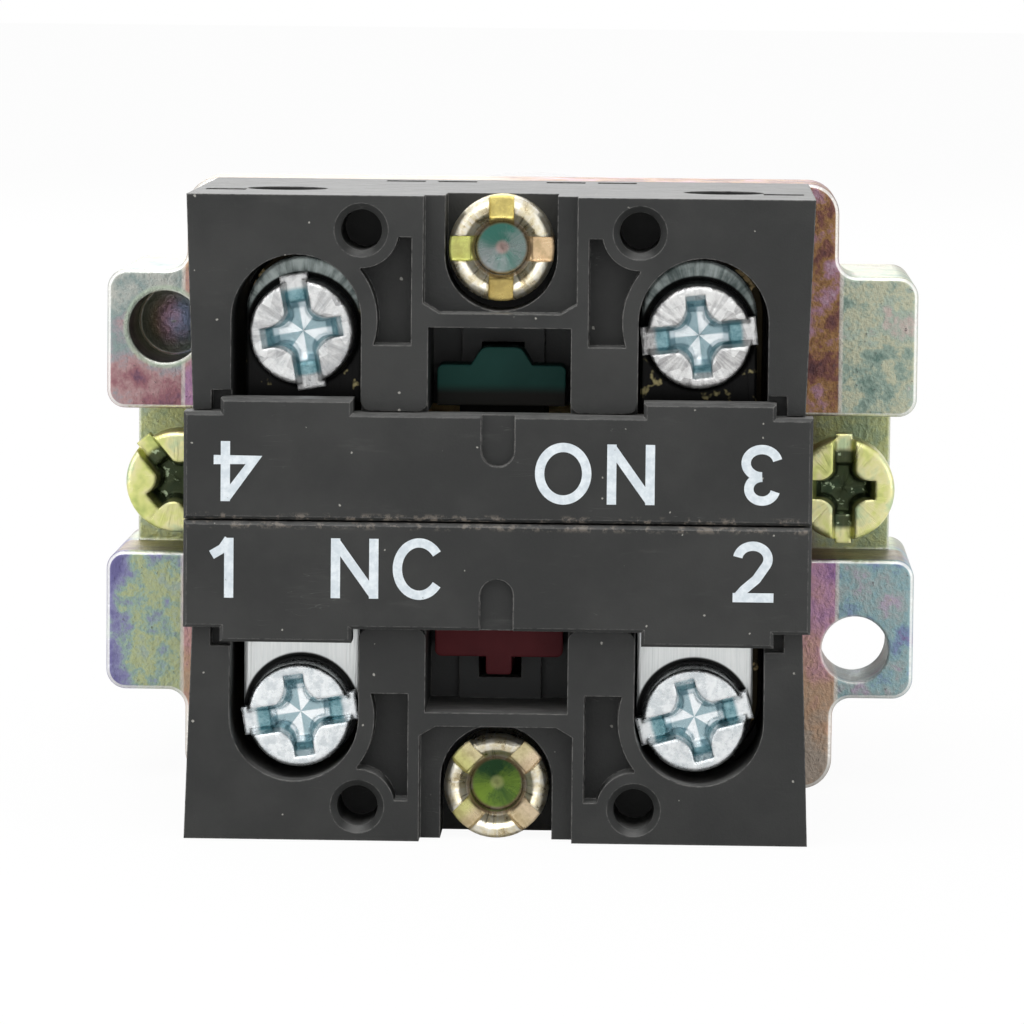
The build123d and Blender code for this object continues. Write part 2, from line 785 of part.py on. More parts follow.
            # space for the wire beside the screw, and its entry through the outer wall
            with Locations((side * wire_u, terminal_v, wire_y)):
                Box(
                    2 * wire_radius_entry,
                    recess_radius + thread_gap,
                    2 * wire_radius_entry,
                    align=(Align.CENTER, Align.MIN, Align.CENTER),
                    mode=Mode.SUBTRACT,
                )
            with Locations(Location((side * wire_u, terminal_v, wire_y), (-90, 0, 0))):
                Cylinder(
                    wire_radius_entry,
                    block_height,
                    align=(Align.CENTER, Align.CENTER, Align.MIN),
                    mode=Mode.SUBTRACT,
                )
            # stacking socket behind, peg in front
            with Locations((side * socket_u, socket_v, terrace_y)):
                CounterSinkHole(socket_radius, socket_radius + socket_chamfer, depth=socket_depth)
            with Locations((side * socket_u, socket_v, collar_rear_y)):
                Cylinder(
                    socket_radius - peg_gap,
                    peg_length,
                    align=(Align.CENTER, Align.CENTER, Align.MAX),
                )
            # moulded pocket between window, terminal and socket
            with BuildSketch(plane.offset(terrace_y - coring_depth)):
                with Locations((side * coring_side, coring_start)):
                    Rectangle(
                        terminal_u - recess_radius + seat_gap / 2 - coring_side,
                        block_height - coring_inset - coring_start,
                        align=(Align.MIN if side > 0 else Align.MAX, Align.MIN),
                    )
                with Locations((side * terminal_u, terminal_v)):
                    Circle(recess_radius + coring_wall, mode=Mode.SUBTRACT)
                with Locations((side * socket_u, socket_v)):
                    Circle(socket_radius + coring_socket_wall, mode=Mode.SUBTRACT)
            extrude(amount=coring_depth, mode=Mode.SUBTRACT)
            # short slots in the outer wall
            for slot_u, slot_y in ((block_width / 2 - side_slot_inset, side_slot_y), *side_slot_places):
                with Locations((side * slot_u, block_height, slot_y)):
                    Box(
                        side_slot_width,
                        2 * side_slot_depth,
                        side_slot_height,
                        mode=Mode.SUBTRACT,
                    )
        post_corners = (
            housing.edges()
            .filter_by(Axis.Y)
            .filter_by(lambda e: abs(abs(e.center().Z) - cover_height - seat_gap / 2) < 0.01)
            .filter_by(lambda e: abs(e.center().X) < terminal_u)
            .filter_by(lambda e: e.center().Y > cover_seat_y)
        )
        fillet(post_corners, post_rounding)
        # pocket of the fixing screw, open at the outer edge
        with BuildSketch(plane.offset(terrace_y - pocket_shelf_depth)):
            with BuildLine():
                Polyline(
                    (pocket_deep_half_width + 0.2, fixing_v - pocket_reach),
                    (pocket_half_width, fixing_v - pocket_shoulder_reach),
                    (pocket_half_width, block_height + 1),
                    (-pocket_half_width, block_height + 1),
                    (-pocket_half_width, fixing_v - pocket_shoulder_reach),
                    (-pocket_deep_half_width - 0.2, fixing_v - pocket_reach),
                    close=True,
                )
            make_face()
        extrude(amount=pocket_shelf_depth, mode=Mode.SUBTRACT)
        with BuildSketch(plane.offset(fixing_seat_y)):
            with Locations((0, fixing_v - pocket_deep_reach + pocket_deep_half_width)):
                Circle(pocket_deep_half_width)
                Rectangle(
                    2 * pocket_deep_half_width,
                    block_height,
                    align=(Align.CENTER, Align.MIN),
                )
        extrude(amount=terrace_y - fixing_seat_y, mode=Mode.SUBTRACT)
        with Locations((0, fixing_v, fixing_seat_y)):
            Hole(fixing_radius + fixing_hole_gap, depth=block_depth)
        # room for the jack screws' heads, which stand out of the collar beside the block
        for side in (1, -1):
            with Locations((side * jack_x, 0, jack_seat_y)):
                Cylinder(
                    max(jack_head_radius, jack_bar_length / 2) + 1.5 * seat_gap,
                    jack_head_height + seat_gap,
                    align=(Align.CENTER, Align.CENTER, Align.MIN),
                    mode=Mode.SUBTRACT,
                )
        # rebate for the base plate
        with Locations((0, seam_gap + wall / 2, collar_rear_y)):
            Box(
                base_width + 2 * seat_gap,
                base_height + 2 * seat_gap,
                base_thickness,
                align=(Align.CENTER, Align.MIN, Align.MIN),
                mode=Mode.SUBTRACT,
            )
    save(housing, f"{block}_housing")

    # Base plate that closes the chamber in front and guides the plunger.
    with BuildPart(plane) as base:
        with Locations((0, seam_gap + wall / 2 + seat_gap, collar_rear_y)):
            Box(
                base_width,
                base_height,
                base_thickness,
                align=(Align.CENTER, Align.MIN, Align.MIN),
            )
        with Locations((0, stem_start - seat_gap, collar_rear_y)):
            Box(
                2 * (stem_half_width + seat_gap),
                stem_end - stem_start + 2 * seat_gap,
                base_thickness,
                align=(Align.CENTER, Align.MIN, Align.MIN),
                mode=Mode.SUBTRACT,
            )
    save(base, f"{block}_base")

    # Cover with the terminal marks: closes the chamber and holds the contact strips down.
    with BuildPart(plane) as cover:
        with BuildSketch(plane.offset(cover_seat_y)):
            with Locations((0, seam_gap)):
                Rectangle(
                    block_width,
                    cover_height - seam_gap,
                    align=(Align.CENTER, Align.MIN),
                )
            for side in (1, -1):
                with Locations((side * cover_tab_start, cover_height - seat_gap)):
                    Rectangle(
                        cover_tab_end - cover_tab_start,
                        cover_tab_length + seat_gap,
                        align=(Align.MIN if side > 0 else Align.MAX, Align.MIN),
                    )
        extrude(amount=cover_thickness)
        rim = cover.faces().sort_by(Axis.Y)[-1].outer_wire().edges()
        chamfer(rim, rear_edge_chamfer)
        with BuildSketch(plane.offset(band_y - cover_notch_depth)):
            with Locations((0, cover_height - cover_notch_length + cover_notch_width / 2)):
                Circle(cover_notch_width / 2)
                Rectangle(
                    cover_notch_width,
                    cover_notch_length,
                    align=(Align.CENTER, Align.MIN),
                )
        extrude(amount=cover_notch_depth, mode=Mode.SUBTRACT)
        for side in (1, -1):
            with Locations((side * terminal_u, bridge_v, strip_rear_y)):
                Box(
                    hold_down_width,
                    bridge_width,
                    cover_seat_y - strip_rear_y,
                    align=(Align.CENTER, Align.CENTER, Align.MIN),
                )
    save(cover, f"{block}_cover")

    # Coloured plunger: stem with the bridge's slot, rear bar seen in the window, foot for its spring.
    bar_front_y = plunger_front_y + plunger_length - bar_thickness
    with BuildPart(plane) as plunger:
        with Locations((0, stem_start, plunger_front_y)):
            Box(
                2 * stem_half_width,
                stem_end - stem_start,
                stem_rear_y - plunger_front_y,
                align=(Align.CENTER, Align.MIN, Align.MIN),
            )
        with Locations((0, bar_start, bar_front_y)):
            Box(
                2 * bar_half_width,
                bar_end - bar_start,
                bar_thickness,
                align=(Align.CENTER, Align.MIN, Align.MIN),
            )
        bar_corners = (
            plunger.edges()
            .filter_by(Axis.Y)
            .filter_by(lambda e: abs(abs(e.center().X) - bar_half_width) < 0.01)
            .filter_by(lambda e: abs(abs(e.center().Z) - bar_end) < 0.01)
        )
        fillet(bar_corners, bar_rounding)
        with BuildSketch(plane.offset(bar_front_y)) as crown:
            with BuildLine():
                if closed:
                    Polyline(
                        (tab_half_width, bar_end - seat_gap),
                        (tab_half_width, tab_end),
                        (-tab_half_width, tab_end),
                        (-tab_half_width, bar_end - seat_gap),
                        close=True,
                    )
                else:
                    Polyline(
                        (hump_half_width_low, bar_end - seat_gap),
                        (hump_half_width_high, hump_end),
                        (-hump_half_width_high, hump_end),
                        (-hump_half_width_low, bar_end - seat_gap),
                        close=True,
                    )
            make_face()
            fillet(crown.vertices().sort_by(Axis.Y)[-2:], tab_rounding if closed else hump_rounding)
        extrude(amount=bar_thickness)
        foot_front_y = chamber_front_y + foot_above_base
        with Locations((0, stem_end - seat_gap, foot_front_y)):
            Box(
                2 * foot_half_width,
                foot_end - stem_end + seat_gap,
                foot_thickness,
                align=(Align.CENTER, Align.MIN, Align.MIN),
            )
        with Locations((0, post_start, foot_front_y)):
            Box(
                2 * tab_half_width,
                post_end - post_start,
                bar_front_y - foot_front_y,
                align=(Align.CENTER, Align.MIN, Align.MIN),
            )
        with Locations((0, bridge_v, slot_front_y)):
            Box(
                2 * stem_half_width,
                bridge_width + seat_gap,
                slot_rear_y - slot_front_y,
                align=(Align.CENTER, Align.CENTER, Align.MIN),
                mode=Mode.SUBTRACT,
            )
    save(plunger, f"{block}_plunger")

    # Contact bridge with a silver tip at each end.
    tip_side = -1 if closed else 1
    with BuildPart(plane) as bridge:
        with Locations((0, bridge_v, bridge_front_y)):
            Box(
                2 * bridge_half_length,
                bridge_width,
                bridge_thickness,
                align=(Align.CENTER, Align.CENTER, Align.MIN),
            )
        tip_face_y = bridge_front_y if closed else bridge_front_y + bridge_thickness
        with Locations((tip_u, bridge_v, tip_face_y), (-tip_u, bridge_v, tip_face_y)):
            Cylinder(
                tip_radius,
                tip_height,
                align=(Align.CENTER, Align.CENTER, Align.MAX if closed else Align.MIN),
            )
    save(bridge, f"{block}_contact_bridge")

    # Springs: one returns the plunger, one presses the bridge.
    coil(
        f"{block}_plunger_spring",
        plane.from_local_coords(Vector(0, plunger_coil_v, 0)),
        plunger_coil_radius,
        plunger_wire_radius,
        plunger_turns,
        foot_front_y + foot_thickness,
        ledge_rear_y - ledge_thickness,
    )
    coil(
        f"{block}_contact_spring",
        plane.from_local_coords(Vector(0, bridge_v, 0)),
        contact_coil_radius,
        contact_wire_radius,
        contact_turns,
        spring_front_y,
        spring_front_y + contact_spring_length,
    )

    # Screw that holds the block to the collar: domed head with a bowl, a centre hole and four slots.
    with BuildPart(plane) as fixing_screw:
        axis_origin = plane.from_local_coords(Vector(0, fixing_v, 0))
        first = 0 if turn > 0 else 45
        seam = radians(45 - first)
        profile = Plane(origin=axis_origin, x_dir=(cos(seam), 0, sin(seam)), z_dir=(-sin(seam), 0, cos(seam)))
        with BuildSketch(profile):
            with BuildLine():
                Polyline(
                    (0, collar_rear_y - fixing_engagement),
                    (fixing_radius - 0.3, collar_rear_y - fixing_engagement),
                    (fixing_radius, collar_rear_y - fixing_engagement + 0.3),
                    (fixing_radius, fixing_seat_y),
                    (fixing_head_radius, fixing_seat_y),
                    (fixing_head_radius, fixing_top_y - 0.5),
                    (fixing_head_radius - 0.18, fixing_top_y - 0.15),
                    (fixing_head_radius - 0.45, fixing_top_y),
                    (fixing_bowl_radius, fixing_top_y - 0.15),
                    (fixing_centre_radius + 0.12, fixing_top_y - fixing_bowl_depth),
                    (fixing_centre_radius, fixing_top_y - fixing_bowl_depth),
                    (fixing_centre_radius, fixing_top_y - fixing_bowl_depth - fixing_centre_depth * 0.7),
                    (0, fixing_top_y - fixing_bowl_depth - fixing_centre_depth),
                    close=True,
                )
            make_face()
        revolve(axis=Axis(axis_origin, (0, 1, 0)))
        for quarter in range(4):
            with Locations(Location((0, fixing_v, fixing_top_y), (0, 0, first + 90 * quarter))):
                with Locations((fixing_slot_start, 0, 0)):
                    Box(
                        fixing_head_radius,
                        fixing_slot,
                        2 * fixing_slot_depth,
                        align=(Align.MIN, Align.CENTER, Align.CENTER),
                        mode=Mode.SUBTRACT,
                    )
    save(fixing_screw, f"{block}_fixing_screw")

    # Terminals: fixed contact strip, sliding clamp plate and its captive screw, on each side.
    for side, number in ((-1, numbers[0]), (1, numbers[1])):
        outward = Align.MIN if side > 0 else Align.MAX
        with BuildPart(plane) as fixed_contact:
            with BuildSketch(plane.offset(strip_front_y)):
                with Locations((side * terminal_u, terminal_v)):
                    Circle(recess_radius - strip_play)
                with Locations((side * terminal_u, bridge_v - bridge_width / 2)):
                    Rectangle(
                        2 * (recess_radius - strip_play),
                        terminal_v - bridge_v + bridge_width / 2,
                        align=(Align.CENTER, Align.MIN),
                    )
                inner_u = chamber_half_width - strip_thickness if closed else arm_inner_u
                with Locations((side * inner_u, bridge_v)):
                    Rectangle(terminal_u - inner_u, bridge_width, align=(outward, Align.CENTER))
            extrude(amount=strip_thickness)
            if closed:
                with Locations((side * inner_u, bridge_v, arm_front_y)):
                    Box(
                        strip_thickness - seat_gap,
                        bridge_width,
                        arm_step + strip_thickness,
                        align=(outward, Align.CENTER, Align.MIN),
                    )
                with Locations((side * arm_inner_u, bridge_v, arm_front_y)):
                    Box(
                        inner_u - arm_inner_u + strip_thickness / 2,
                        bridge_width,
                        strip_thickness,
                        align=(outward, Align.CENTER, Align.MIN),
                    )
            tip_y = arm_front_y + strip_thickness if closed else arm_front_y
            with Locations((side * tip_u, bridge_v, tip_y)):
                Cylinder(
                    tip_radius,
                    tip_height,
                    align=(Align.CENTER, Align.CENTER, Align.MIN if closed else Align.MAX),
                )
            with Locations((side * screw_u, screw_v, strip_rear_y)):
                Hole(screw_radius + thread_gap, depth=strip_thickness)
        save(fixed_contact, f"fixed_contact_{number}")

        with BuildPart(plane) as clamp:
            with BuildSketch(plane.offset(clamp_front_y)):
                with Locations((side * screw_u, terminal_v + clamp_shift[block])):
                    Circle(clamp_half)
                    Rectangle(
                        2 * clamp_half,
                        clamp_length - clamp_half,
                        align=(Align.CENTER, Align.MAX),
                    )
            extrude(amount=clamp_thickness)
            with Locations((side * screw_u, screw_v, clamp_rear_y)):
                Hole(screw_radius + clamp_hole_gap, depth=clamp_thickness)
                Hole(screw_head_radius + clamp_dish_gap, depth=clamp_dish)
        save(clamp, f"terminal_clamp_{number}")

        with BuildPart() as terminal_screw:
            with BuildSketch(plane.offset(screw_seat_y - screw_length)):
                with Locations((side * screw_u, screw_v)):
                    Circle(screw_radius)
            extrude(amount=screw_length)
            with BuildSketch(plane.offset(screw_seat_y)):
                with Locations((side * screw_u, screw_v)):
                    Circle(screw_head_radius)
            extrude(amount=screw_head_height)
            head = terminal_screw.edges().filter_by(GeomType.CIRCLE).sort_by(Axis.Y)[-1]
            fillet(head, screw_edge_rounding)
            # metal pushed out of the rim at both ends of the slot
            turned = Location((side * screw_u, screw_v, screw_top_y), (0, 0, slot_angles[number]))
            head_face = Plane(plane * turned)
            with Locations(head_face.offset(-screw_slot_depth)):
                Box(
                    screw_bar_length,
                    screw_slot,
                    screw_bar_height,
                    align=(Align.CENTER, Align.CENTER, Align.MAX),
                )
            slotted_head(head_face, screw_slot, screw_slot_slope, screw_cross_length)
        save(terminal_screw, f"terminal_screw_{number}")
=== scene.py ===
import json
from math import cos, pi, radians, sin

import bmesh
import bpy
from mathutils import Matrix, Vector


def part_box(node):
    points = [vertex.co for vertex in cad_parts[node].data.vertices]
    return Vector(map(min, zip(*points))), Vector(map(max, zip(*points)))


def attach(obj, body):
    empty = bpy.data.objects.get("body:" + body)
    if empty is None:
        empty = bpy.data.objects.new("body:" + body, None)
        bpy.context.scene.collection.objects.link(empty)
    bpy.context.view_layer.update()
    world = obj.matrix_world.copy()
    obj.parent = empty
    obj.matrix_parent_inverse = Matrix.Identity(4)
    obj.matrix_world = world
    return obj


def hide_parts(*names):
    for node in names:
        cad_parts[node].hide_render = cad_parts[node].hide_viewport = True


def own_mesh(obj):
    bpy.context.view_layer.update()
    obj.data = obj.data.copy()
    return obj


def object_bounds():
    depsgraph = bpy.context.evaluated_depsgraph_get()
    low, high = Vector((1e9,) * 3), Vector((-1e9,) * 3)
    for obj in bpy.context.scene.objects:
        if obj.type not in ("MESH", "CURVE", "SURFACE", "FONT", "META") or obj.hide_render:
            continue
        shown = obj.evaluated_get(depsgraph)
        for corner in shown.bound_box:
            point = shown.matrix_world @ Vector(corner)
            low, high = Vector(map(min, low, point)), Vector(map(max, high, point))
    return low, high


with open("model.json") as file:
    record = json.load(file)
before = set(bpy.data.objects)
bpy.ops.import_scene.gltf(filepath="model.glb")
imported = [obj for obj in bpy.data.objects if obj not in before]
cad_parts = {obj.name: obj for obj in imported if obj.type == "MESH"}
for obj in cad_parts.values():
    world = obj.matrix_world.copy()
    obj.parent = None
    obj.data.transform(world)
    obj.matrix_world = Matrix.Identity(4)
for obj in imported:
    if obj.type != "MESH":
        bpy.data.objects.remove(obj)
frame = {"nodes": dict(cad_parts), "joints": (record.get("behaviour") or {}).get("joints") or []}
solid_low, solid_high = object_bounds()

# ---- viewpoint ----
# A long lens looks at the wiring side, from a little above the part's axis and a little to one side
# of it. Metres and radians.
eye = bpy.data.cameras.new("eye")
eye.lens = 209.775
eye.sensor_width = 36.0
eye.clip_start = 0.02
eye.clip_end = 20.0
eye_object = bpy.data.objects.new("eye", eye)
eye_object.location = (-0.008618, 0.319554, 0.026828)
eye_object.rotation_euler = (1.475030, -0.009760, -3.111649)
bpy.context.scene.collection.objects.link(eye_object)
bpy.context.scene.camera = eye_object


# ---- floor and light ----
# A plain pale floor under the part and an even white room. One broad lamp hangs above the wiring
# side, weaker ones stand left and right of it and behind the button.
class Wire:
    """A socket of a node tree. Sums and products of wires add the Math nodes for them."""

    def __init__(self, tree, socket=None):
        self.tree = tree
        self.socket = socket

    def node(self, kind, settings=None, sockets=None, out=0):
        """Add a node: its settings first, then the values or wires of its sockets."""
        made = self.tree.nodes.new(kind)
        for key, value in (settings or {}).items():
            if key == "stops":
                ramp = made.color_ramp
                ramp.elements[0].position = value[0][0]
                ramp.elements[1].position = value[-1][0]
                for place, _ in value[1:-1]:
                    ramp.elements.new(place)
                for stop, (_, colour) in zip(ramp.elements, value):
                    stop.color = (*colour, 1.0)
            else:
                setattr(made, key, value)
        for key, value in (sockets or {}).items():
            if isinstance(value, Wire):
                self.tree.links.new(value.socket, made.inputs[key])
            else:
                made.inputs[key].default_value = value
        return Wire(self.tree, made.outputs[out] if made.outputs else None)

    def sum(self, kind, first, second=0.0):
        return self.node("ShaderNodeMath", {"operation": kind}, {0: first, 1: second})

    def __add__(self, other):
        return self.sum("ADD", self, other)

    def __sub__(self, other):
        return self.sum("SUBTRACT", self, other)

    def __rsub__(self, other):
        return self.sum("SUBTRACT", other, self)

    def __mul__(self, other):
        return self.sum("MULTIPLY", self, other)

    def __pow__(self, other):
        return self.sum("POWER", self, other)

    def __abs__(self):
        return self.sum("ABSOLUTE", self)

    __radd__ = __add__
    __rmul__ = __mul__

    def rise(self, low, high):
        """0 at low, 1 at high, smooth between; low may be the larger."""
        if low > high:
            return 1 - self.rise(high, low)
        ends = {"Value": self, "From Min": low, "From Max": high}
        return self.node("ShaderNodeMapRange", {"interpolation_type": "SMOOTHSTEP"}, ends)

    def blend(self, first, second):
        """The first colour where this wire is 0, the second where it is 1."""
        first, second = ((*c, 1.0) if isinstance(c, tuple) else c for c in (first, second))
        colours = {0: self, 6: first, 7: second}
        return self.node("ShaderNodeMix", {"data_type": "RGBA"}, colours, out=2)

    def noise(self, scale, detail=2.0, rough=0.5):
        """Noise read at this wire's place, scale in lumps per metre."""
        return self.node(
            "ShaderNodeTexNoise",
            None,
            {"Vector": self, "Scale": scale, "Detail": detail, "Roughness": rough},
        )

    def stretch(self, x, y, z, turn=(0.0, 0.0, 0.0)):
        """This wire's place scaled along each axis, after a turn."""
        return self.node(
            "ShaderNodeMapping",
            {"vector_type": "POINT"},
            {"Vector": self, "Scale": (x, y, z), "Rotation": turn},
        )

    def axis(self, number):
        return self.node("ShaderNodeSeparateXYZ", None, {0: self}, out=number)

    def ramp(self, *stops):
        """Colours along this wire: pairs of a place and a colour."""
        return self.node("ShaderNodeValToRGB", {"stops": stops}, {"Fac": self})

    def offset_from(self, axis_x, axis_z):
        """How far a place lies from an axis along Y: in X, in Z and straight to it."""
        x, z = self.axis(0) - axis_x, self.axis(2) - axis_z
        return x, z, (x * x + z * z) ** 0.5

    def rays_from(self, axis_x, axis_z):
        """Radius, angle and streaks that point away from an axis along Y."""
        x, z, radius = self.offset_from(axis_x, axis_z)
        angle = self.sum("ARCTAN2", z, x)
        rays = {0: angle * 9.0, 1: radius * 420.0, 2: axis_x * 1000.0}
        fan = self.node("ShaderNodeCombineXYZ", None, rays).noise(1, 4, 0.6)
        return radius, angle, fan

    def sine(self):
        return self.node("ShaderNodeMath", {"operation": "SINE"}, {0: self})


def finish_for(name):
    """An empty material, with a wire that gives the place on the piece in metres."""
    material = bpy.data.materials.new(name)
    material.use_nodes = True
    material.node_tree.nodes.clear()
    return material, Wire(material.node_tree).node("ShaderNodeTexCoord", out=3)


def close_finish(wire, changing, fixed=None):
    """End a material in one Principled shader: what changes over the surface, and constants."""
    body = wire.node("ShaderNodeBsdfPrincipled", None, {**(fixed or {}), **changing})
    wire.node("ShaderNodeOutputMaterial", None, {"Surface": body})


def floor_finish():
    material, place = finish_for("floor_paper")
    tone = place.noise(60, 4).blend((0.90, 0.90, 0.90), (0.93, 0.93, 0.93))
    paper = place.node("ShaderNodeBsdfDiffuse", None, {"Color": tone})
    white = place.node("ShaderNodeEmission", None, {"Color": (1, 1, 1, 1), "Strength": 1.0})
    seen = place.node("ShaderNodeLightPath", out=0) * 0.95
    both = place.node("ShaderNodeMixShader", None, {0: seen, 1: paper, 2: white})
    place.node("ShaderNodeOutputMaterial", None, {"Surface": both})
    return material


floor_reach = 2.5
floor_level = solid_low[2] - 0.00005
floor_mesh = bpy.data.meshes.new("floor")
floor_sides = ((-1, -1), (1, -1), (1, 1), (-1, 1))
floor_corners = [(x * floor_reach, y * floor_reach, floor_level) for x, y in floor_sides]
floor_mesh.from_pydata(floor_corners, [], [(0, 1, 2, 3)])
floor_mesh.materials.append(floor_finish())
floor = bpy.data.objects.new("floor", floor_mesh)
bpy.context.scene.collection.objects.link(floor)

world = bpy.data.worlds.new("white_room")
world.use_nodes = True
world.node_tree.nodes.clear()
room = Wire(world.node_tree)
eye_ray, mirrored_ray, passed_ray = (room.node("ShaderNodeLightPath", out=k) for k in (0, 3, 6))
seen_ray = (eye_ray + mirrored_ray + passed_ray).rise(0, 1)
lit_room = room.node("ShaderNodeBackground", None, {"Color": (1, 1, 1, 1), "Strength": 0.60})
seen_room = room.node("ShaderNodeBackground", None, {"Color": (1, 1, 1, 1), "Strength": 1.0})
whole_room = room.node("ShaderNodeMixShader", None, {0: seen_ray, 1: lit_room, 2: seen_room})
room.node("ShaderNodeOutputWorld", None, {"Surface": whole_room})
bpy.context.scene.world = world
bpy.context.scene.view_settings.view_transform = "Standard"

lit_place = Vector((0, 0.02, 0))
lamps = (
    ("top_lamp", (0.05, 0.28, 0.42), 0.35, 1.30),
    ("left_lamp", (0.45, 0.25, 0.12), 0.25, 0.45),
    ("right_lamp", (-0.45, 0.25, 0.10), 0.25, 0.40),
    ("front_lamp", (0.10, -0.50, 0.35), 0.35, 1.10),
)
for lamp_name, lamp_place, lamp_size, lamp_power in lamps:
    lamp = bpy.data.lights.new(lamp_name, "AREA")
    lamp.size = lamp_size
    lamp.energy = lamp_power
    lamp_object = bpy.data.objects.new(lamp_name, lamp)
    lamp_object.location = lamp_place
    lamp_way = lit_place - Vector(lamp_place)
    lamp_object.rotation_euler = lamp_way.to_track_quat("-Z", "Y").to_euler()
    bpy.context.scene.collection.objects.link(lamp_object)


# ---- barrel and fixing collar ----
# Zinc die castings with a yellow passivation film. The film drifts from silver through
# yellow-green, rose and blue, is thicker in hollows and is rubbed thin along the edges.
# Shade is painted into the holes, and highlights on to slanted faces, the plate's edges and the blind
# hole's mouth.
def edge_of(wire, width):
    """1 along sharp edges, 0 on open faces; width in metres."""
    soft = wire.node("ShaderNodeBevel", {"samples": 6}, {"Radius": width})
    hard = wire.node("ShaderNodeNewGeometry", out=1)
    both = {0: soft, 1: hard}
    meet = wire.node("ShaderNodeVectorMath", {"operation": "DOT_PRODUCT"}, both, out=1)
    return (1 - meet).rise(0.01, 0.12)


def soft_edges(wire, width, height=None, depth=1e-5):
    """The normal with edges rounded by width and a fine relief of the given depth, in metres."""
    normal = wire.node("ShaderNodeBevel", {"samples": 6}, {"Radius": width})
    if height is None:
        return normal
    relief = {"Strength": 1.0, "Distance": depth, "Height": height, "Normal": normal}
    return wire.node("ShaderNodeBump", None, relief)


def zinc_finish(place, film, grain):
    """Close a cast material: small dark pits, bright rubbed edges, a painted highlight on slanted
    faces and a slightly lumpy skin.
    """
    pits = place.noise(4200, 3, 0.7)
    film = pits.rise(0.64, 0.76).blend(film, (0.10, 0.09, 0.09))
    film = (edge_of(place, 0.00022) * 0.75).blend(film, (0.80, 0.80, 0.76))
    # painted highlight: faces slanting towards +Y, such as rounded rims, are blended towards pale
    # silver
    facing = place.node("ShaderNodeNewGeometry", out=1).axis(1)
    painted_rim_highlight = facing.rise(0.35, 0.60) * facing.rise(0.985, 0.93)
    film = (painted_rim_highlight * 0.7).blend(film, (0.86, 0.86, 0.83))
    changing = {
        "Base Color": film,
        "Roughness": grain * 0.34 + 0.22,
        "Normal": soft_edges(place, 0.00025, pits * 0.6 + grain * 0.4, 0.00007),
    }
    close_finish(place, changing, {"Metallic": 0.85})


def barrel_film():
    material, place = finish_for("barrel_film")
    film = place.noise(420, 5, 0.62).ramp(
        (0.30, (0.24, 0.34, 0.32)),
        (0.42, (0.38, 0.42, 0.27)),
        (0.52, (0.50, 0.46, 0.33)),
        (0.62, (0.44, 0.30, 0.34)),
        (0.74, (0.26, 0.20, 0.36)),
    )
    zinc_finish(place, film, place.noise(1300, 4, 0.65))
    return material


# In metres: the ears run from the plate's edge out to their tips, and each has a notch in its middle.
ear_tip, collar_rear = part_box("mounting_collar")[1][:2]
plate_edge = 0.01622
plate_front = collar_rear - 0.0050
notch_side = 0.00355
notch_floor = collar_rear - 0.0053
notch_inner_end = 0.0142
blind_hole = (0.01713, 0.0076)
blind_radius = 0.0018
blind_end = collar_rear - 0.0080
through_hole = (-0.01713, -0.0080)
through_radius = 0.00165


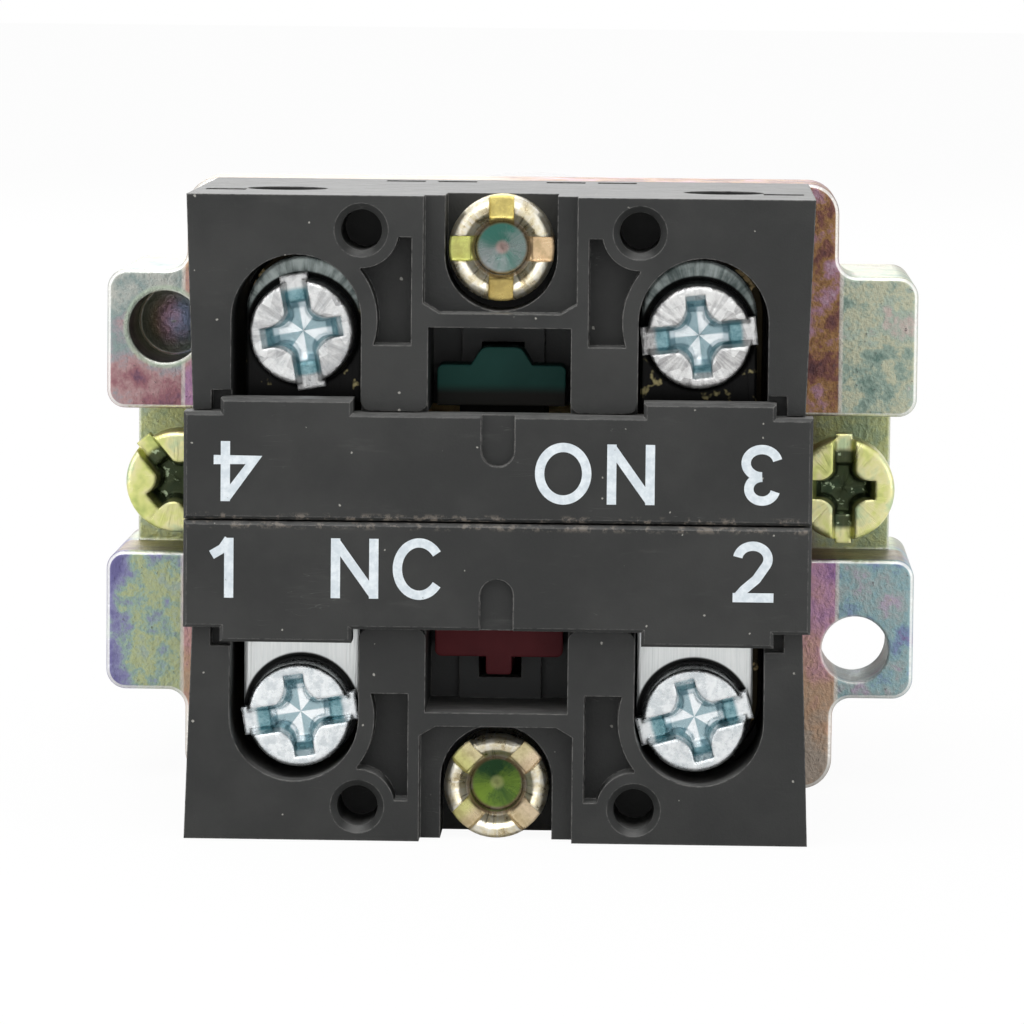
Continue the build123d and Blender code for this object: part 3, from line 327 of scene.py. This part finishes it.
def collar_film():
    material, place = finish_for("collar_film")
    x, y, z = place.axis(0), place.axis(1), place.axis(2)
    grain = place.noise(1300, 4, 0.65)
    drift = place.noise(420, 5, 0.68)
    thick = (drift - 0.5) * 1.35 + (grain - 0.5) * 0.35 + 0.5
    left, upper = x.rise(-0.0002, 0.0002), z.rise(-0.0002, 0.0002)
    # ears: silver over rose, green and gold, teal and yellow-green, cyan and purple
    upper_left = (thick * 0.7 + z * 62.0 - 0.25).ramp(
        (0.20, (0.12, 0.07, 0.12)),
        (0.33, (0.30, 0.14, 0.16)),
        (0.44, (0.42, 0.27, 0.27)),
        (0.52, (0.34, 0.32, 0.34)),
        (0.62, (0.25, 0.32, 0.31)),
        (0.78, (0.46, 0.47, 0.43)),
    )
    upper_right = thick.ramp(
        (0.26, (0.14, 0.22, 0.19)),
        (0.40, (0.30, 0.38, 0.32)),
        (0.50, (0.50, 0.50, 0.36)),
        (0.60, (0.36, 0.44, 0.37)),
        (0.72, (0.52, 0.44, 0.40)),
    )
    lower_left = (thick - x.rise(ear_tip - 0.0016, ear_tip - 0.0001) * 0.30).ramp(
        (0.14, (0.15, 0.14, 0.30)),
        (0.30, (0.24, 0.24, 0.40)),
        (0.42, (0.29, 0.40, 0.34)),
        (0.52, (0.42, 0.46, 0.25)),
        (0.64, (0.34, 0.42, 0.36)),
        (0.76, (0.50, 0.47, 0.30)),
    )
    lower_right = thick.ramp(
        (0.22, (0.24, 0.16, 0.32)),
        (0.34, (0.20, 0.27, 0.41)),
        (0.46, (0.27, 0.41, 0.43)),
        (0.58, (0.34, 0.40, 0.40)),
        (0.68, (0.42, 0.36, 0.45)),
        (0.80, (0.44, 0.44, 0.30)),
    )
    lower_ears = left.blend(lower_right, lower_left)
    upper_ears = left.blend(upper_right, upper_left)
    ears = upper.blend(lower_ears, upper_ears)
    # plate beside the blocks: rust and plum above right, salmon, pink and lilac elsewhere
    rust = thick.ramp(
        (0.28, (0.09, 0.045, 0.05)),
        (0.42, (0.19, 0.085, 0.07)),
        (0.52, (0.30, 0.17, 0.07)),
        (0.64, (0.34, 0.19, 0.24)),
        (0.78, (0.46, 0.34, 0.40)),
    )
    pink = (thick * 0.62 + abs(z) * 52.0 - 0.30).ramp(
        (0.12, (0.22, 0.12, 0.30)),
        (0.28, (0.44, 0.25, 0.36)),
        (0.42, (0.50, 0.29, 0.28)),
        (0.56, (0.50, 0.33, 0.22)),
        (0.72, (0.42, 0.35, 0.29)),
    )
    beside = (x + thick * 0.006 - 0.003).rise(0.0022, -0.0022)
    strip = (upper * beside).blend(pink, rust)
    inside = abs(x).rise(plate_edge + 0.00013, plate_edge - 0.00012)
    film = inside.blend(ears, strip)
    # painted highlight: a pale line along the plate's edges beside the ears
    beyond_notch = abs(z).rise(notch_side - 0.00015, notch_side + 0.00015)
    painted_edge_line = abs(abs(x) - plate_edge).rise(0.00014, 0.00005) * beyond_notch
    film = (painted_edge_line * 0.55).blend(film, (0.70, 0.68, 0.62))
    # in front of the plate the colours run together into a calmer tone
    calm = thick.ramp(
        (0.28, (0.30, 0.26, 0.24)),
        (0.46, (0.42, 0.40, 0.31)),
        (0.60, (0.40, 0.43, 0.36)),
        (0.76, (0.48, 0.41, 0.40)),
    )
    film = (y.rise(plate_front - 0.0007, plate_front - 0.0030) * 0.85).blend(film, calm)
    # notches: pale green floor, brown side walls
    floor_film = thick.ramp(
        (0.30, (0.34, 0.44, 0.30)),
        (0.50, (0.55, 0.60, 0.30)),
        (0.70, (0.40, 0.52, 0.44)),
    )
    notch = abs(z).rise(notch_side + 0.0001, notch_side - 0.0001)
    notch = notch * y.rise(notch_floor + 0.0002, notch_floor - 0.0001)
    notch = notch * abs(x).rise(notch_inner_end, notch_inner_end + 0.0014)
    film = notch.blend(film, floor_film)
    wall_film = drift.ramp((0.35, (0.14, 0.09, 0.05)), (0.65, (0.36, 0.26, 0.13)))
    wall = abs(z).rise(notch_side + 0.0002, notch_side + 0.00003)
    wall = wall * y.rise(notch_floor - 0.0003, notch_floor + 0.0001)
    wall = wall * y.rise(collar_rear - 0.0001, collar_rear - 0.0005)
    film = (wall * 0.8).blend(film, wall_film)
    # blind hole: a painted highlight as a pale ring round the mouth, painted shade darkening down the
    # wall, floor from tan to lilac and blue
    across, _, radius = place.offset_from(*blind_hole)
    before_end = y.rise(blind_end - 0.0005, blind_end + 0.0005)
    # painted highlight: a pale ring round the blind hole's mouth
    painted_mouth_highlight = radius.rise(blind_radius + 0.00035, blind_radius + 0.00015) * before_end
    film = (painted_mouth_highlight * 0.75).blend(film, (0.44, 0.52, 0.40))
    sunk = radius.rise(blind_radius + 0.00006, blind_radius + 0.00002) * before_end
    sunk = sunk * y.rise(collar_rear - 0.0002, collar_rear - 0.0006)
    # painted shade: the blind hole's wall darkens to near black deeper in
    blind_depth_shade = y.rise(collar_rear - 0.0045, collar_rear - 0.0010)
    blind_bore_shade = blind_depth_shade.blend((0.16, 0.20, 0.13), (0.05, 0.07, 0.045))
    bottom = (across * -260.0 + 0.4962 + (drift - 0.5) * 0.8).ramp(
        (0.25, (0.50, 0.34, 0.22)),
        (0.45, (0.52, 0.32, 0.42)),
        (0.65, (0.30, 0.34, 0.52)),
    )
    bottom = radius.rise(blind_radius, blind_radius - 0.0001).blend(blind_bore_shade, bottom)
    film = sunk.blend(film, bottom)
    # through hole: painted shade on the wall, inside a rubbed mouth
    _, _, radius = place.offset_from(*through_hole)
    through_bore_shade = radius.rise(through_radius + 0.00007, through_radius + 0.00002)
    through_bore_shade = through_bore_shade * y.rise(collar_rear - 0.0003, collar_rear - 0.0008)
    film = (through_bore_shade * 0.6).blend(film, (0.14, 0.14, 0.12))
    zinc_finish(place, film, grain)
    return material


def dress(node, material):
    """Give a solid its finish in place of the plain one it came with."""
    for slot in frame["nodes"][node].material_slots:
        slot.material = material


dress("mounting_collar", collar_film())
dress("operator_barrel", barrel_film())


# ---- jack screws ----
# Steel screws with a yellow-green passivation film. Down in the slot and the cross recess it is
# painted nearly black as shade, with a few pale streaks painted on as glints. They are screwed
# through the collar's notches.
def axis_of(node):
    """Where a turned piece's axis lies in X and Z, and where its head ends in Y."""
    low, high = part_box(node)
    return (low[0] + high[0]) / 2, (low[2] + high[2]) / 2, high[1]


def jack_film(node):
    material, place = finish_for(f"{node}_film")
    axis_x, axis_z, head_rear = axis_of(node)
    depth = head_rear - place.axis(1)
    radius, _, fan = place.rays_from(axis_x, axis_z)
    drift = place.noise(620, 3, 0.6)
    film = drift.ramp(
        (0.32, (0.46, 0.52, 0.17)),
        (0.44, (0.66, 0.68, 0.25)),
        (0.54, (0.76, 0.72, 0.38)),
        (0.66, (0.50, 0.60, 0.36)),
    )
    # painted shade: nearly black in the slot and cross recess, with painted glints where the streak
    # noise is high
    painted_recess_shade = depth.rise(0.0004, 0.0009) * depth.rise(0.0026, 0.0022) * radius.rise(0.0021, 0.0018)
    streak = place.noise(2600, 3, 0.6).rise(0.58, 0.66)
    recess_shade_and_glints = streak.blend((0.020, 0.035, 0.020), (0.34, 0.42, 0.28))
    film = (painted_recess_shade * 0.96).blend(film, recess_shade_and_glints)
    changing = {
        "Base Color": film,
        "Roughness": fan * 0.22 + 0.20,
        "Normal": soft_edges(place, 0.00022, fan, 0.00003),
    }
    close_finish(place, changing, {"Metallic": 0.95})
    return material


for jack_screw in ("jack_screw_left", "jack_screw_right"):
    dress(jack_screw, jack_film(jack_screw))


# ---- block screws ----
# Yellow-passivated screws that hold each block to the collar. Gold, green and peach tabs lie across
# a pale bead with painted highlights and painted shade in streaks, round a dark ring and a centre
# hole with a shimmering bottom that carries painted light.
def block_screw_film(node, aslant, tabs, centre):
    """Tabs gives the colours above, below, left and right; centre the hole's dark and pale colours,
    laid as painted shade above and painted light below, and its middle.
    """
    material, place = finish_for(f"{node}_film")
    axis_x, axis_z, head_rear = axis_of(node)
    x, z, _ = place.offset_from(axis_x, axis_z)
    radius, angle, fan = place.rays_from(axis_x, axis_z)
    mottle = place.noise(1500, 4, 0.65)
    diagonal = 0.5**0.5
    first, second = ((x + z) * diagonal, (x - z) * diagonal) if aslant else (x, z)
    tab = place.sum("MINIMUM", abs(first), abs(second)).rise(0.00060, 0.00056)
    above, below, left, right = tabs
    across = x.rise(-0.00025, 0.00025).blend(right, left)
    along = z.rise(-0.00025, 0.00025).blend(below, above)
    own = (abs(z) - abs(x)).rise(-0.0004, 0.0004).blend(across, along)
    own = (mottle.rise(0.42, 0.64) * 0.40).blend(own, (0.24, 0.17, 0.06))
    bead = mottle.ramp(
        (0.34, (0.42, 0.34, 0.20)),
        (0.46, (0.72, 0.64, 0.44)),
        (0.60, (0.86, 0.82, 0.70)),
    )
    # painted highlights and shade: bright and dark streaks across the pale bead
    bead = (fan.rise(0.50, 0.62) * 0.6).blend(bead, (0.88, 0.86, 0.80))
    shaded = fan.rise(0.44, 0.36) * radius.rise(0.0019, 0.0017)
    bead = (shaded * 0.75).blend(bead, (0.10, 0.09, 0.07))
    film = tab.blend(bead, own)
    dark, pale, middle = centre
    # painted light in the centre hole: darker towards the top, paler towards the bottom, with a swirl
    # through it
    swirl = (angle * 2.0 + mottle * 5.0).sine() * 0.22
    shimmer_and_painted_light = (swirl + fan * 0.5 + mottle * 0.4 - z * 260.0).rise(0.10, 0.95)
    bottom = shimmer_and_painted_light.blend(dark, pale)
    bottom = (radius.rise(0.00042, 0.00016) * 0.8).blend(bottom, middle)
    head = (head_rear - place.axis(1)).rise(0.0035, 0.0029)
    film = (radius.rise(0.00150, 0.00134) * head * 0.9).blend(film, (0.050, 0.030, 0.012))
    film = (radius.rise(0.00122, 0.00104) * head).blend(film, bottom)
    changing = {
        "Base Color": film,
        "Roughness": mottle * 0.25 + 0.17,
        "Normal": soft_edges(place, 0.00022, mottle * 0.6 + fan * 0.4, 0.00006),
    }
    close_finish(place, changing, {"Metallic": 0.92})
    return material


gold_film = block_screw_film(
    "no_fixing_screw",
    aslant=False,
    tabs=((0.72, 0.60, 0.20), (0.52, 0.40, 0.14), (0.62, 0.64, 0.20), (0.76, 0.56, 0.34)),
    centre=((0.045, 0.15, 0.12), (0.25, 0.27, 0.27), (0.40, 0.27, 0.25)),
)
straw_film = block_screw_film(
    "nc_fixing_screw",
    aslant=True,
    tabs=((0.66, 0.58, 0.34), (0.66, 0.54, 0.34), (0.64, 0.62, 0.26), (0.72, 0.58, 0.40)),
    centre=((0.020, 0.055, 0.022), (0.16, 0.25, 0.035), (0.30, 0.33, 0.13)),
)
dress("no_fixing_screw", gold_film)
dress("nc_fixing_screw", straw_film)


# ---- operator head ----
# A bright pressed ring over the flange, a smooth green cap in it, a rubber gasket behind and a
# rubber seal round the cap. The hollow stem is off-white plastic, stopped by an open steel ring,
# and a coil spring pushes it out again.
def bright_ring():
    material, place = finish_for("bezel_plating")
    haze = place.noise(400, 3)
    changing = {
        "Base Color": haze.blend((0.70, 0.71, 0.72), (0.80, 0.80, 0.80)),
        "Roughness": haze * 0.12 + 0.06,
        "Normal": soft_edges(place, 0.0002, place.noise(900, 2), 0.00001),
    }
    close_finish(place, changing, {"Metallic": 1.0})
    return material


def smooth_plastic(name, dark, light, rough):
    material, place = finish_for(name)
    cloud = place.noise(300, 3)
    fine = place.noise(9000, 2)
    changing = {
        "Base Color": cloud.rise(0.3, 0.7).blend(dark, light),
        "Roughness": fine * 0.12 + rough,
        "Normal": soft_edges(place, 0.00015, fine, 0.000006),
    }
    close_finish(place, changing, {"Specular IOR Level": 0.5})
    return material


def plunger_plastic(name, dark, light, shaded):
    """Dull moulded colour, with painted shade, nearly black, where it runs in under the cover."""
    material, place = finish_for(name)
    fine = place.noise(9000, 2)
    tone = place.noise(300, 3).rise(0.3, 0.7).blend(dark, light)
    # painted shade: nearly black where the plunger runs in under the cover
    painted_cover_shade = abs(place.axis(2)).rise(shaded + 0.0006, shaded)
    changing = {
        "Base Color": (painted_cover_shade * 0.92).blend(tone, (0.012, 0.006, 0.005)),
        "Roughness": fine * 0.12 + 0.50,
        "Normal": soft_edges(place, 0.00015, fine, 0.000006),
    }
    close_finish(place, changing, {"Specular IOR Level": 0.18})
    return material


def black_rubber():
    material, place = finish_for("black_rubber")
    fine = place.noise(5200, 4, 0.7)
    changing = {
        "Base Color": fine.blend((0.012, 0.012, 0.012), (0.035, 0.034, 0.033)),
        "Roughness": fine * 0.2 + 0.62,
        "Normal": soft_edges(place, 0.00015, fine, 0.00003),
    }
    close_finish(place, changing, {"Specular IOR Level": 0.35})
    return material


def drawn_wire(name, tone):
    material, place = finish_for(name)
    streak = place.stretch(900, 9000, 900).noise(1, 3)
    changing = {
        "Base Color": streak.blend(tuple(0.8 * c for c in tone), tone),
        "Roughness": streak * 0.2 + 0.22,
        "Normal": soft_edges(place, 0.00005, streak, 0.000006),
    }
    close_finish(place, changing, {"Metallic": 1.0})
    return material


rubber = black_rubber()
spring_wire = drawn_wire("spring_wire", (0.62, 0.62, 0.63))
dress("bezel_ring", bright_ring())
dress("button_cap", smooth_plastic("cap_green", (0.010, 0.20, 0.055), (0.014, 0.25, 0.07), 0.16))
dress("pusher", smooth_plastic("stem_white", (0.62, 0.60, 0.54), (0.68, 0.66, 0.60), 0.34))
dress("panel_gasket", rubber)
dress("seal_ring", rubber)
dress("retaining_ring", spring_wire)

# Each joint's travel, and the end of each spring that stays where it is.
travel = {joint["name"]: joint["range_m"][1] for joint in frame["joints"] if joint.get("range_m")}
spring_seat = {
    spring["node"]: spring["fixed_end_y_m"]
    for joint in frame["joints"]
    for spring in joint.get("deforming_nodes") or ()
}


def live_spring(node, body, shortening):
    """Coils in place of the still ones, carried by the body; they are not shortened as the joint
    moves.
    """
    seat = spring_seat[node]
    low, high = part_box(node)
    length = max(high[1] - seat, seat - low[1])
    coils = bpy.data.objects.new(f"{node}_coils", frame["nodes"][node].data.copy())
    coils.data.materials.clear()
    coils.data.materials.append(spring_wire)
    bpy.context.scene.collection.objects.link(coils)
    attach(coils, body)
    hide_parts(node)
    1 - shortening / length
    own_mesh(coils)


live_spring("return_spring", "frame", travel["button_press"])


# ---- contact blocks: housings, bases and covers ----
# Black moulded plastic with a dull skin: pale dust in the grain, a few scratches, and thin pale
# burrs along the moulded edges. Covers and bases snap on to the housings.
# In metres: the covers' outer face, and the ledge in the middle of each window.
cover_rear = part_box("no_cover")[1][1]
ledge_side = 0.0033
ledge_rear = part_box("no_housing")[1][1] - 0.0055
ledge_inner, ledge_outer = 0.00635, 0.0091


def black_moulding(name, handled):
    """Handled is how much pale smear from fingers the faces carry, from 0 to 1."""
    material, place = finish_for(name)
    x, y, z = place.axis(0), place.axis(1), place.axis(2)
    cloud = place.noise(190, 4, 0.6)
    grain = place.noise(7500, 3, 0.6)
    tone = cloud.rise(0.35, 0.70).blend((0.0135, 0.0142, 0.0138), (0.024, 0.0246, 0.0236))
    smear = place.stretch(90, 300, 420, (0.0, 0.25, 0.0)).noise(1, 5, 0.7).rise(0.60, 0.78)
    tone = (smear * handled).blend(tone, (0.055, 0.055, 0.052))
    # hair-thin scratches where the drawn-out noise crosses its middle
    drawn = place.stretch(260, 900, 3400, (0.0, 0.5, 0.0)).noise(1, 2, 0.4)
    scratches = abs(drawn - 0.5).rise(0.006, 0.0) * place.noise(420, 2).rise(0.60, 0.70)
    tone = (scratches * 0.35).blend(tone, (0.12, 0.12, 0.115))
    # grains of dust of several sizes, a few to each square centimetre
    wobble = place.noise(5200, 3, 0.7) * 0.00016
    ragged = place.node("ShaderNodeVectorMath", {"operation": "ADD"}, {0: place, 1: wobble})
    cell = {"Vector": ragged, "Scale": 1900.0}
    near = place.node("ShaderNodeTexVoronoi", None, cell)
    pick = place.node("ShaderNodeTexVoronoi", None, cell, out=1)
    speck = (near - pick.axis(1) * 0.13).rise(0.05, 0.01) * pick.axis(0).rise(0.900, 0.905)
    tone = (speck * 0.8).blend(tone, (0.34, 0.33, 0.30))
    # the window's ledge is painted paler as light on it, and a brown crust lies in the seam between
    # the covers
    painted_ledge_light = abs(x).rise(ledge_side + 0.0001, ledge_side - 0.0001)
    painted_ledge_light = painted_ledge_light * y.rise(ledge_rear + 0.0001, ledge_rear - 0.0001)
    painted_ledge_light = painted_ledge_light * abs(z).rise(ledge_inner - 0.00015, ledge_inner + 0.00015)
    painted_ledge_light = painted_ledge_light * abs(z).rise(ledge_outer + 0.0001, ledge_outer - 0.0001)
    tone = painted_ledge_light.blend(tone, (0.052, 0.054, 0.054))
    seam = abs(z).rise(0.00045, 0.00012) * y.rise(cover_rear - 0.0005, cover_rear - 0.0003)
    crust = seam * place.noise(1900, 4, 0.75).rise(0.50, 0.62)
    tone = (crust * 0.6).blend(tone, (0.27, 0.23, 0.19))
    # painted sheen in streaks on what faces up, and pale burrs along the edges
    painted_top_sheen = place.node("ShaderNodeNewGeometry", out=1).axis(2).rise(0.55, 0.95)
    sheen_streaks = place.stretch(700, 2200, 700).noise(1, 4, 0.7).rise(0.30, 0.66)
    tone = (painted_top_sheen * (sheen_streaks * 0.40 + 0.30)).blend(tone, (0.22, 0.22, 0.215))
    burr = edge_of(place, 0.00010) * place.noise(2600, 3, 0.7).rise(0.34, 0.60)
    tone = (burr * 0.75).blend(tone, (0.22, 0.215, 0.205))
    changing = {
        "Base Color": tone,
        "Roughness": grain * 0.16 + 0.44,
        "Normal": soft_edges(place, 0.00010, grain, 0.000012),
    }
    close_finish(place, changing, {"Specular IOR Level": 0.38})
    return material


moulding = black_moulding("housing_black", 0.35)
cover_moulding = black_moulding("cover_black", 0.8)
for block in ("no", "nc"):
    dress(f"{block}_housing", moulding)
    dress(f"{block}_base", moulding)
    dress(f"{block}_cover", cover_moulding)


# ---- pad-printed terminal marks ----
# Cream-white ink stamped on the covers, a hundredth of a millimetre thick and chipped in places.
# The marks of the upper block stand on their heads, because it is the lower one turned half round.
def white_ink():
    material, place = finish_for("white_ink")
    blot = place.noise(2600, 4, 0.7)
    tone = blot.rise(0.35, 0.70).blend((0.56, 0.62, 0.66), (0.72, 0.77, 0.80))
    chip = place.noise(3300, 3, 0.7).rise(0.70, 0.74)
    relief = {"Strength": 1.0, "Distance": 0.00001, "Height": blot}
    changing = {
        "Base Color": (chip * 0.8).blend(tone, (0.06, 0.06, 0.06)),
        "Roughness": blot * 0.2 + 0.45,
        "Normal": place.node("ShaderNodeBump", None, relief),
    }
    close_finish(place, changing, {"Specular IOR Level": 0.3})
    return material


ink = white_ink()
# lengths of the print in millimetres
pen_width = 0.43
letter_height = 2.78
n_width = 2.2
c_width = 2.44
o_width = 2.60
ink_rear = cover_rear * 1000 + 0.012
stroke_step = 0.003


def arc(centre, width, height, start, end, steps=24):
    """Points on an ellipse's arc from start to end, angles in degrees."""
    turns = [radians(start + (end - start) * k / steps) for k in range(steps + 1)]
    return [(centre[0] + width / 2 * cos(t), centre[1] + height / 2 * sin(t)) for t in turns]


pen_half = pen_width / 2
bowl_height = letter_height + 0.08 - pen_width
n_far = n_width - pen_half
characters = {
    "1": [[(0.12, 1.98), (0.62, 2.28), (0.92, 2.72)], [(0.92, 2.78), (0.92, 0.0)]],
    "2": [
        arc((0.93, 2.0), 1.40, 1.20, 172, -28) + [(1.10, 1.06), (0.52, 0.56), (0.24, 0.22)],
        [(0.02, 0.21), (1.90, 0.21)],
    ],
    "3": [
        arc((0.88, 2.04), 1.22, 1.10, 168, -90, 28),
        arc((0.90, 0.84), 1.46, 1.26, 90, -168, 30),
    ],
    "4": [[(1.96, 0.86), (0.10, 0.86), (1.42, 2.66)], [(1.42, 2.78), (1.42, 0.0)]],
    "N": [
        [(pen_half, 0.0), (pen_half, letter_height)],
        [(pen_half, letter_height - 0.16), (n_far, 0.16)],
        [(n_far, letter_height), (n_far, 0)],
    ],
    "C": [arc((c_width / 2, letter_height / 2), c_width - pen_width, bowl_height, 36, 324, 40)],
    "O": [arc((o_width / 2, letter_height / 2), o_width - pen_width, bowl_height, 0, 360, 56)],
}


def pen_line(mesh, points, place):
    """A flat band of the pen's width along the points, mitred where they turn."""
    closed = (Vector(points[0]) - Vector(points[-1])).length < 1e-6
    path = [Vector(p) for p in (points[:-1] if closed else points)]
    rows = []
    for k, here in enumerate(path):
        ways = []
        if k or closed:
            ways.append((here - path[k - 1]).normalized())
        if k + 1 < len(path) or closed:
            ways.append((path[(k + 1) % len(path)] - here).normalized())
        sides = [Vector((-way.y, way.x)) for way in ways]
        across = sum(sides, Vector((0, 0))).normalized()
        reach = pen_half / max(0.5, across.dot(sides[0]))
        rows.append([mesh.verts.new(place(here + across * reach * side)) for side in (1, -1)])
    for k in range(len(rows) - (0 if closed else 1)):
        (a, b), (c, d) = rows[k], rows[(k + 1) % len(rows)]
        mesh.faces.new((a, b, d, c))


def printed(name, text_places, upright):
    """One printed mark: characters with their lower left corners as read, in millimetres."""
    mesh = bmesh.new()
    for character, left, base in text_places:
        for order, points in enumerate(characters[character]):
            level = ink_rear + stroke_step * order
            pen_line(
                mesh,
                points,
                lambda p: Vector((-upright * (left + p.x), level, upright * (base + p.y))) / 1000,
            )
    bmesh.ops.recalc_face_normals(mesh, faces=mesh.faces)
    for face in mesh.faces:
        if face.normal.y < 0:
            face.normal_flip()
    data = bpy.data.meshes.new(name)
    mesh.to_mesh(data)
    mesh.free()
    data.materials.append(ink)
    mark = bpy.data.objects.new(name, data)
    bpy.context.scene.collection.objects.link(mark)
    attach(mark, "frame")


printed("mark_1", (("1", -13.30, -3.60),), 1)
printed("mark_nc", (("N", -7.66, -3.56), ("C", -4.80, -3.55)), 1)
printed("mark_2", (("2", 10.87, -3.50),), 1)
printed("mark_4", (("4", 11.14, -3.66),), -1)
printed("mark_no", (("N", -7.24, -3.72), ("O", -4.32, -3.73)), -1)
printed("mark_3", (("3", -13.06, -3.78),), -1)


# ---- plungers, bridges and their springs ----
# Coloured moulded plungers, green for the normally open block and dark red for the normally closed
# one; stamped brass bridges and strips with silver tips; fine wire springs.
def stamped_brass():
    material, place = finish_for("contact_brass")
    grain = place.stretch(600, 6000, 6000).noise(1, 3)
    stain = place.noise(500, 4, 0.6).rise(0.45, 0.75)
    tone = stain.blend((0.78, 0.60, 0.30), (0.60, 0.42, 0.22))
    # nearly black in patches beyond about 6 mm either side of the middle
    dark_beyond_middle = abs(place.axis(0)).rise(0.0060, 0.0066) * place.noise(1100, 3).rise(0.62, 0.56)
    changing = {
        "Base Color": (dark_beyond_middle * 0.95).blend(tone, (0.012, 0.011, 0.010)),
        "Roughness": grain * 0.2 + 0.24,
        "Normal": soft_edges(place, 0.0001, grain, 0.000008),
    }
    close_finish(place, changing, {"Metallic": 1.0})
    return material


green = plunger_plastic("plunger_green", (0.010, 0.060, 0.050), (0.016, 0.085, 0.070), 0.0056)
red = plunger_plastic("plunger_red", (0.090, 0.010, 0.014), (0.125, 0.016, 0.020), 0.0049)
dress("no_plunger", green)
dress("nc_plunger", red)
brass = stamped_brass()
for block in ("no", "nc"):
    dress(f"{block}_contact_bridge", brass)
    slide = f"{block}_plunger_slide"
    live_spring(f"{block}_plunger_spring", "frame", travel[slide])
for number in (1, 2, 3, 4):
    dress(f"fixed_contact_{number}", brass)
# The upper block's contact spring gives way between its plunger and its bridge; here its coils only
# ride with the plunger. The lower block's stays at its full length, because its bridge is only lifted
# off.
no_give = travel["no_plunger_slide"] - travel["no_bridge_slide"]
live_spring("no_contact_spring", "no_plunger", no_give)
dress("nc_contact_spring", spring_wire)


# ---- terminals ----
# Zinc-plated steel. The lower clamp plates are bright with a drawn grain across them; the upper
# ones are painted nearly black as shade, with painted glints, but for the part beyond the screw,
# and every plate has a painted shadow ring round the screw head. Screw heads are dented and
# scratched, with a bluish film in the slot and cross recess and a pale star at the bottom.
head_shadow = 0.00268


def clamp_plate(number, painted_dark):
    material, place = finish_for(f"terminal_clamp_{number}_plating")
    axis_x, axis_z, _ = axis_of(f"terminal_screw_{number}")
    radius, _, fan = place.rays_from(axis_x, axis_z)
    grain = place.stretch(9000, 600, 300).noise(1, 3)
    tone = grain.blend((0.55, 0.58, 0.58), (0.86, 0.87, 0.86))
    if painted_dark:
        # painted shade: the upper plates are nearly black, with painted golden glints, save for a
        # scuffed grey-teal crescent beyond the screw
        worn = place.noise(900, 3, 0.6)
        painted_glints = worn.rise(0.58, 0.66).blend((0.012, 0.012, 0.012), (0.30, 0.26, 0.13))
        scuffed = (fan * 0.5 + worn * 0.5).rise(0.36, 0.62)
        crescent = scuffed.blend((0.075, 0.095, 0.092), (0.32, 0.36, 0.35))
        beyond_screw = (place.axis(2) - axis_z).rise(0.0006, 0.0016)
        tone = beyond_screw.blend(painted_glints, crescent)
    # painted shadow: a near-black ring round the screw head
    painted_head_shadow = radius.rise(head_shadow + 0.0001, head_shadow)
    tone = (painted_head_shadow * 0.97).blend(tone, (0.008, 0.008, 0.008))
    changing = {
        "Base Color": tone,
        "Roughness": grain * 0.15 + 0.24,
        "Normal": soft_edges(place, 0.00025, grain, 0.00002),
    }
    close_finish(place, changing, {"Metallic": 1.0})
    return material


def plated_screw(number, slot_turn, dull):
    """Slot_turn is where the star's points lie, in degrees; dull is how worn the head is."""
    material, place = finish_for(f"terminal_screw_{number}_plating")
    axis_x, axis_z, head_rear = axis_of(f"terminal_screw_{number}")
    depth = head_rear - place.axis(1)
    radius, angle, fan = place.rays_from(axis_x, axis_z)
    dent = place.noise(2400, 4, 0.65)
    cell = {"Vector": place, "Scale": 1500.0}
    flats = place.node("ShaderNodeTexVoronoi", None, cell, out=1).axis(0)
    bright = dent.rise(0.35, 0.65).blend((0.58, 0.62, 0.64), (0.84, 0.87, 0.88))
    rubbed = (fan * 0.5 + flats * 0.2 + dent * 0.3).rise(0.32, 0.64)
    worn = rubbed.blend((0.27, 0.26, 0.26), (0.70, 0.70, 0.69))
    tone = (dent * 0.4 + dull).rise(0.1, 0.9).blend(bright, worn)
    slot = depth.rise(0.00035, 0.00060) * depth.rise(0.0022, 0.0019) * radius.rise(0.00215, 0.00190)
    film = dent.rise(0.3, 0.7).blend((0.10, 0.22, 0.25), (0.26, 0.42, 0.46))
    facet = ((angle + radians(slot_turn)) * 4.0).sine().rise(-0.25, 0.25)
    star = facet.blend((0.34, 0.46, 0.50), (0.88, 0.92, 0.94))
    tone = slot.blend(tone, depth.rise(0.00095, 0.00115).blend(film, star))
    changing = {
        "Base Color": tone,
        "Roughness": dent * 0.25 + 0.14 + dull * 0.12,
        "Normal": soft_edges(place, 0.00022, dent * 0.7 + fan * 0.3, 0.00003 + 0.00018 * dull),
    }
    close_finish(place, changing, {"Metallic": 1.0})
    return material


terminals = (
    (1, False, 9.0, 0.0),
    (2, False, 15.0, 0.1),
    (3, True, 6.0, 0.55),
    (4, True, 10.0, 0.45),
)
for number, painted_dark, slot_turn, dull in terminals:
    dress(f"terminal_clamp_{number}", clamp_plate(number, painted_dark))
    dress(f"terminal_screw_{number}", plated_screw(number, slot_turn, dull))
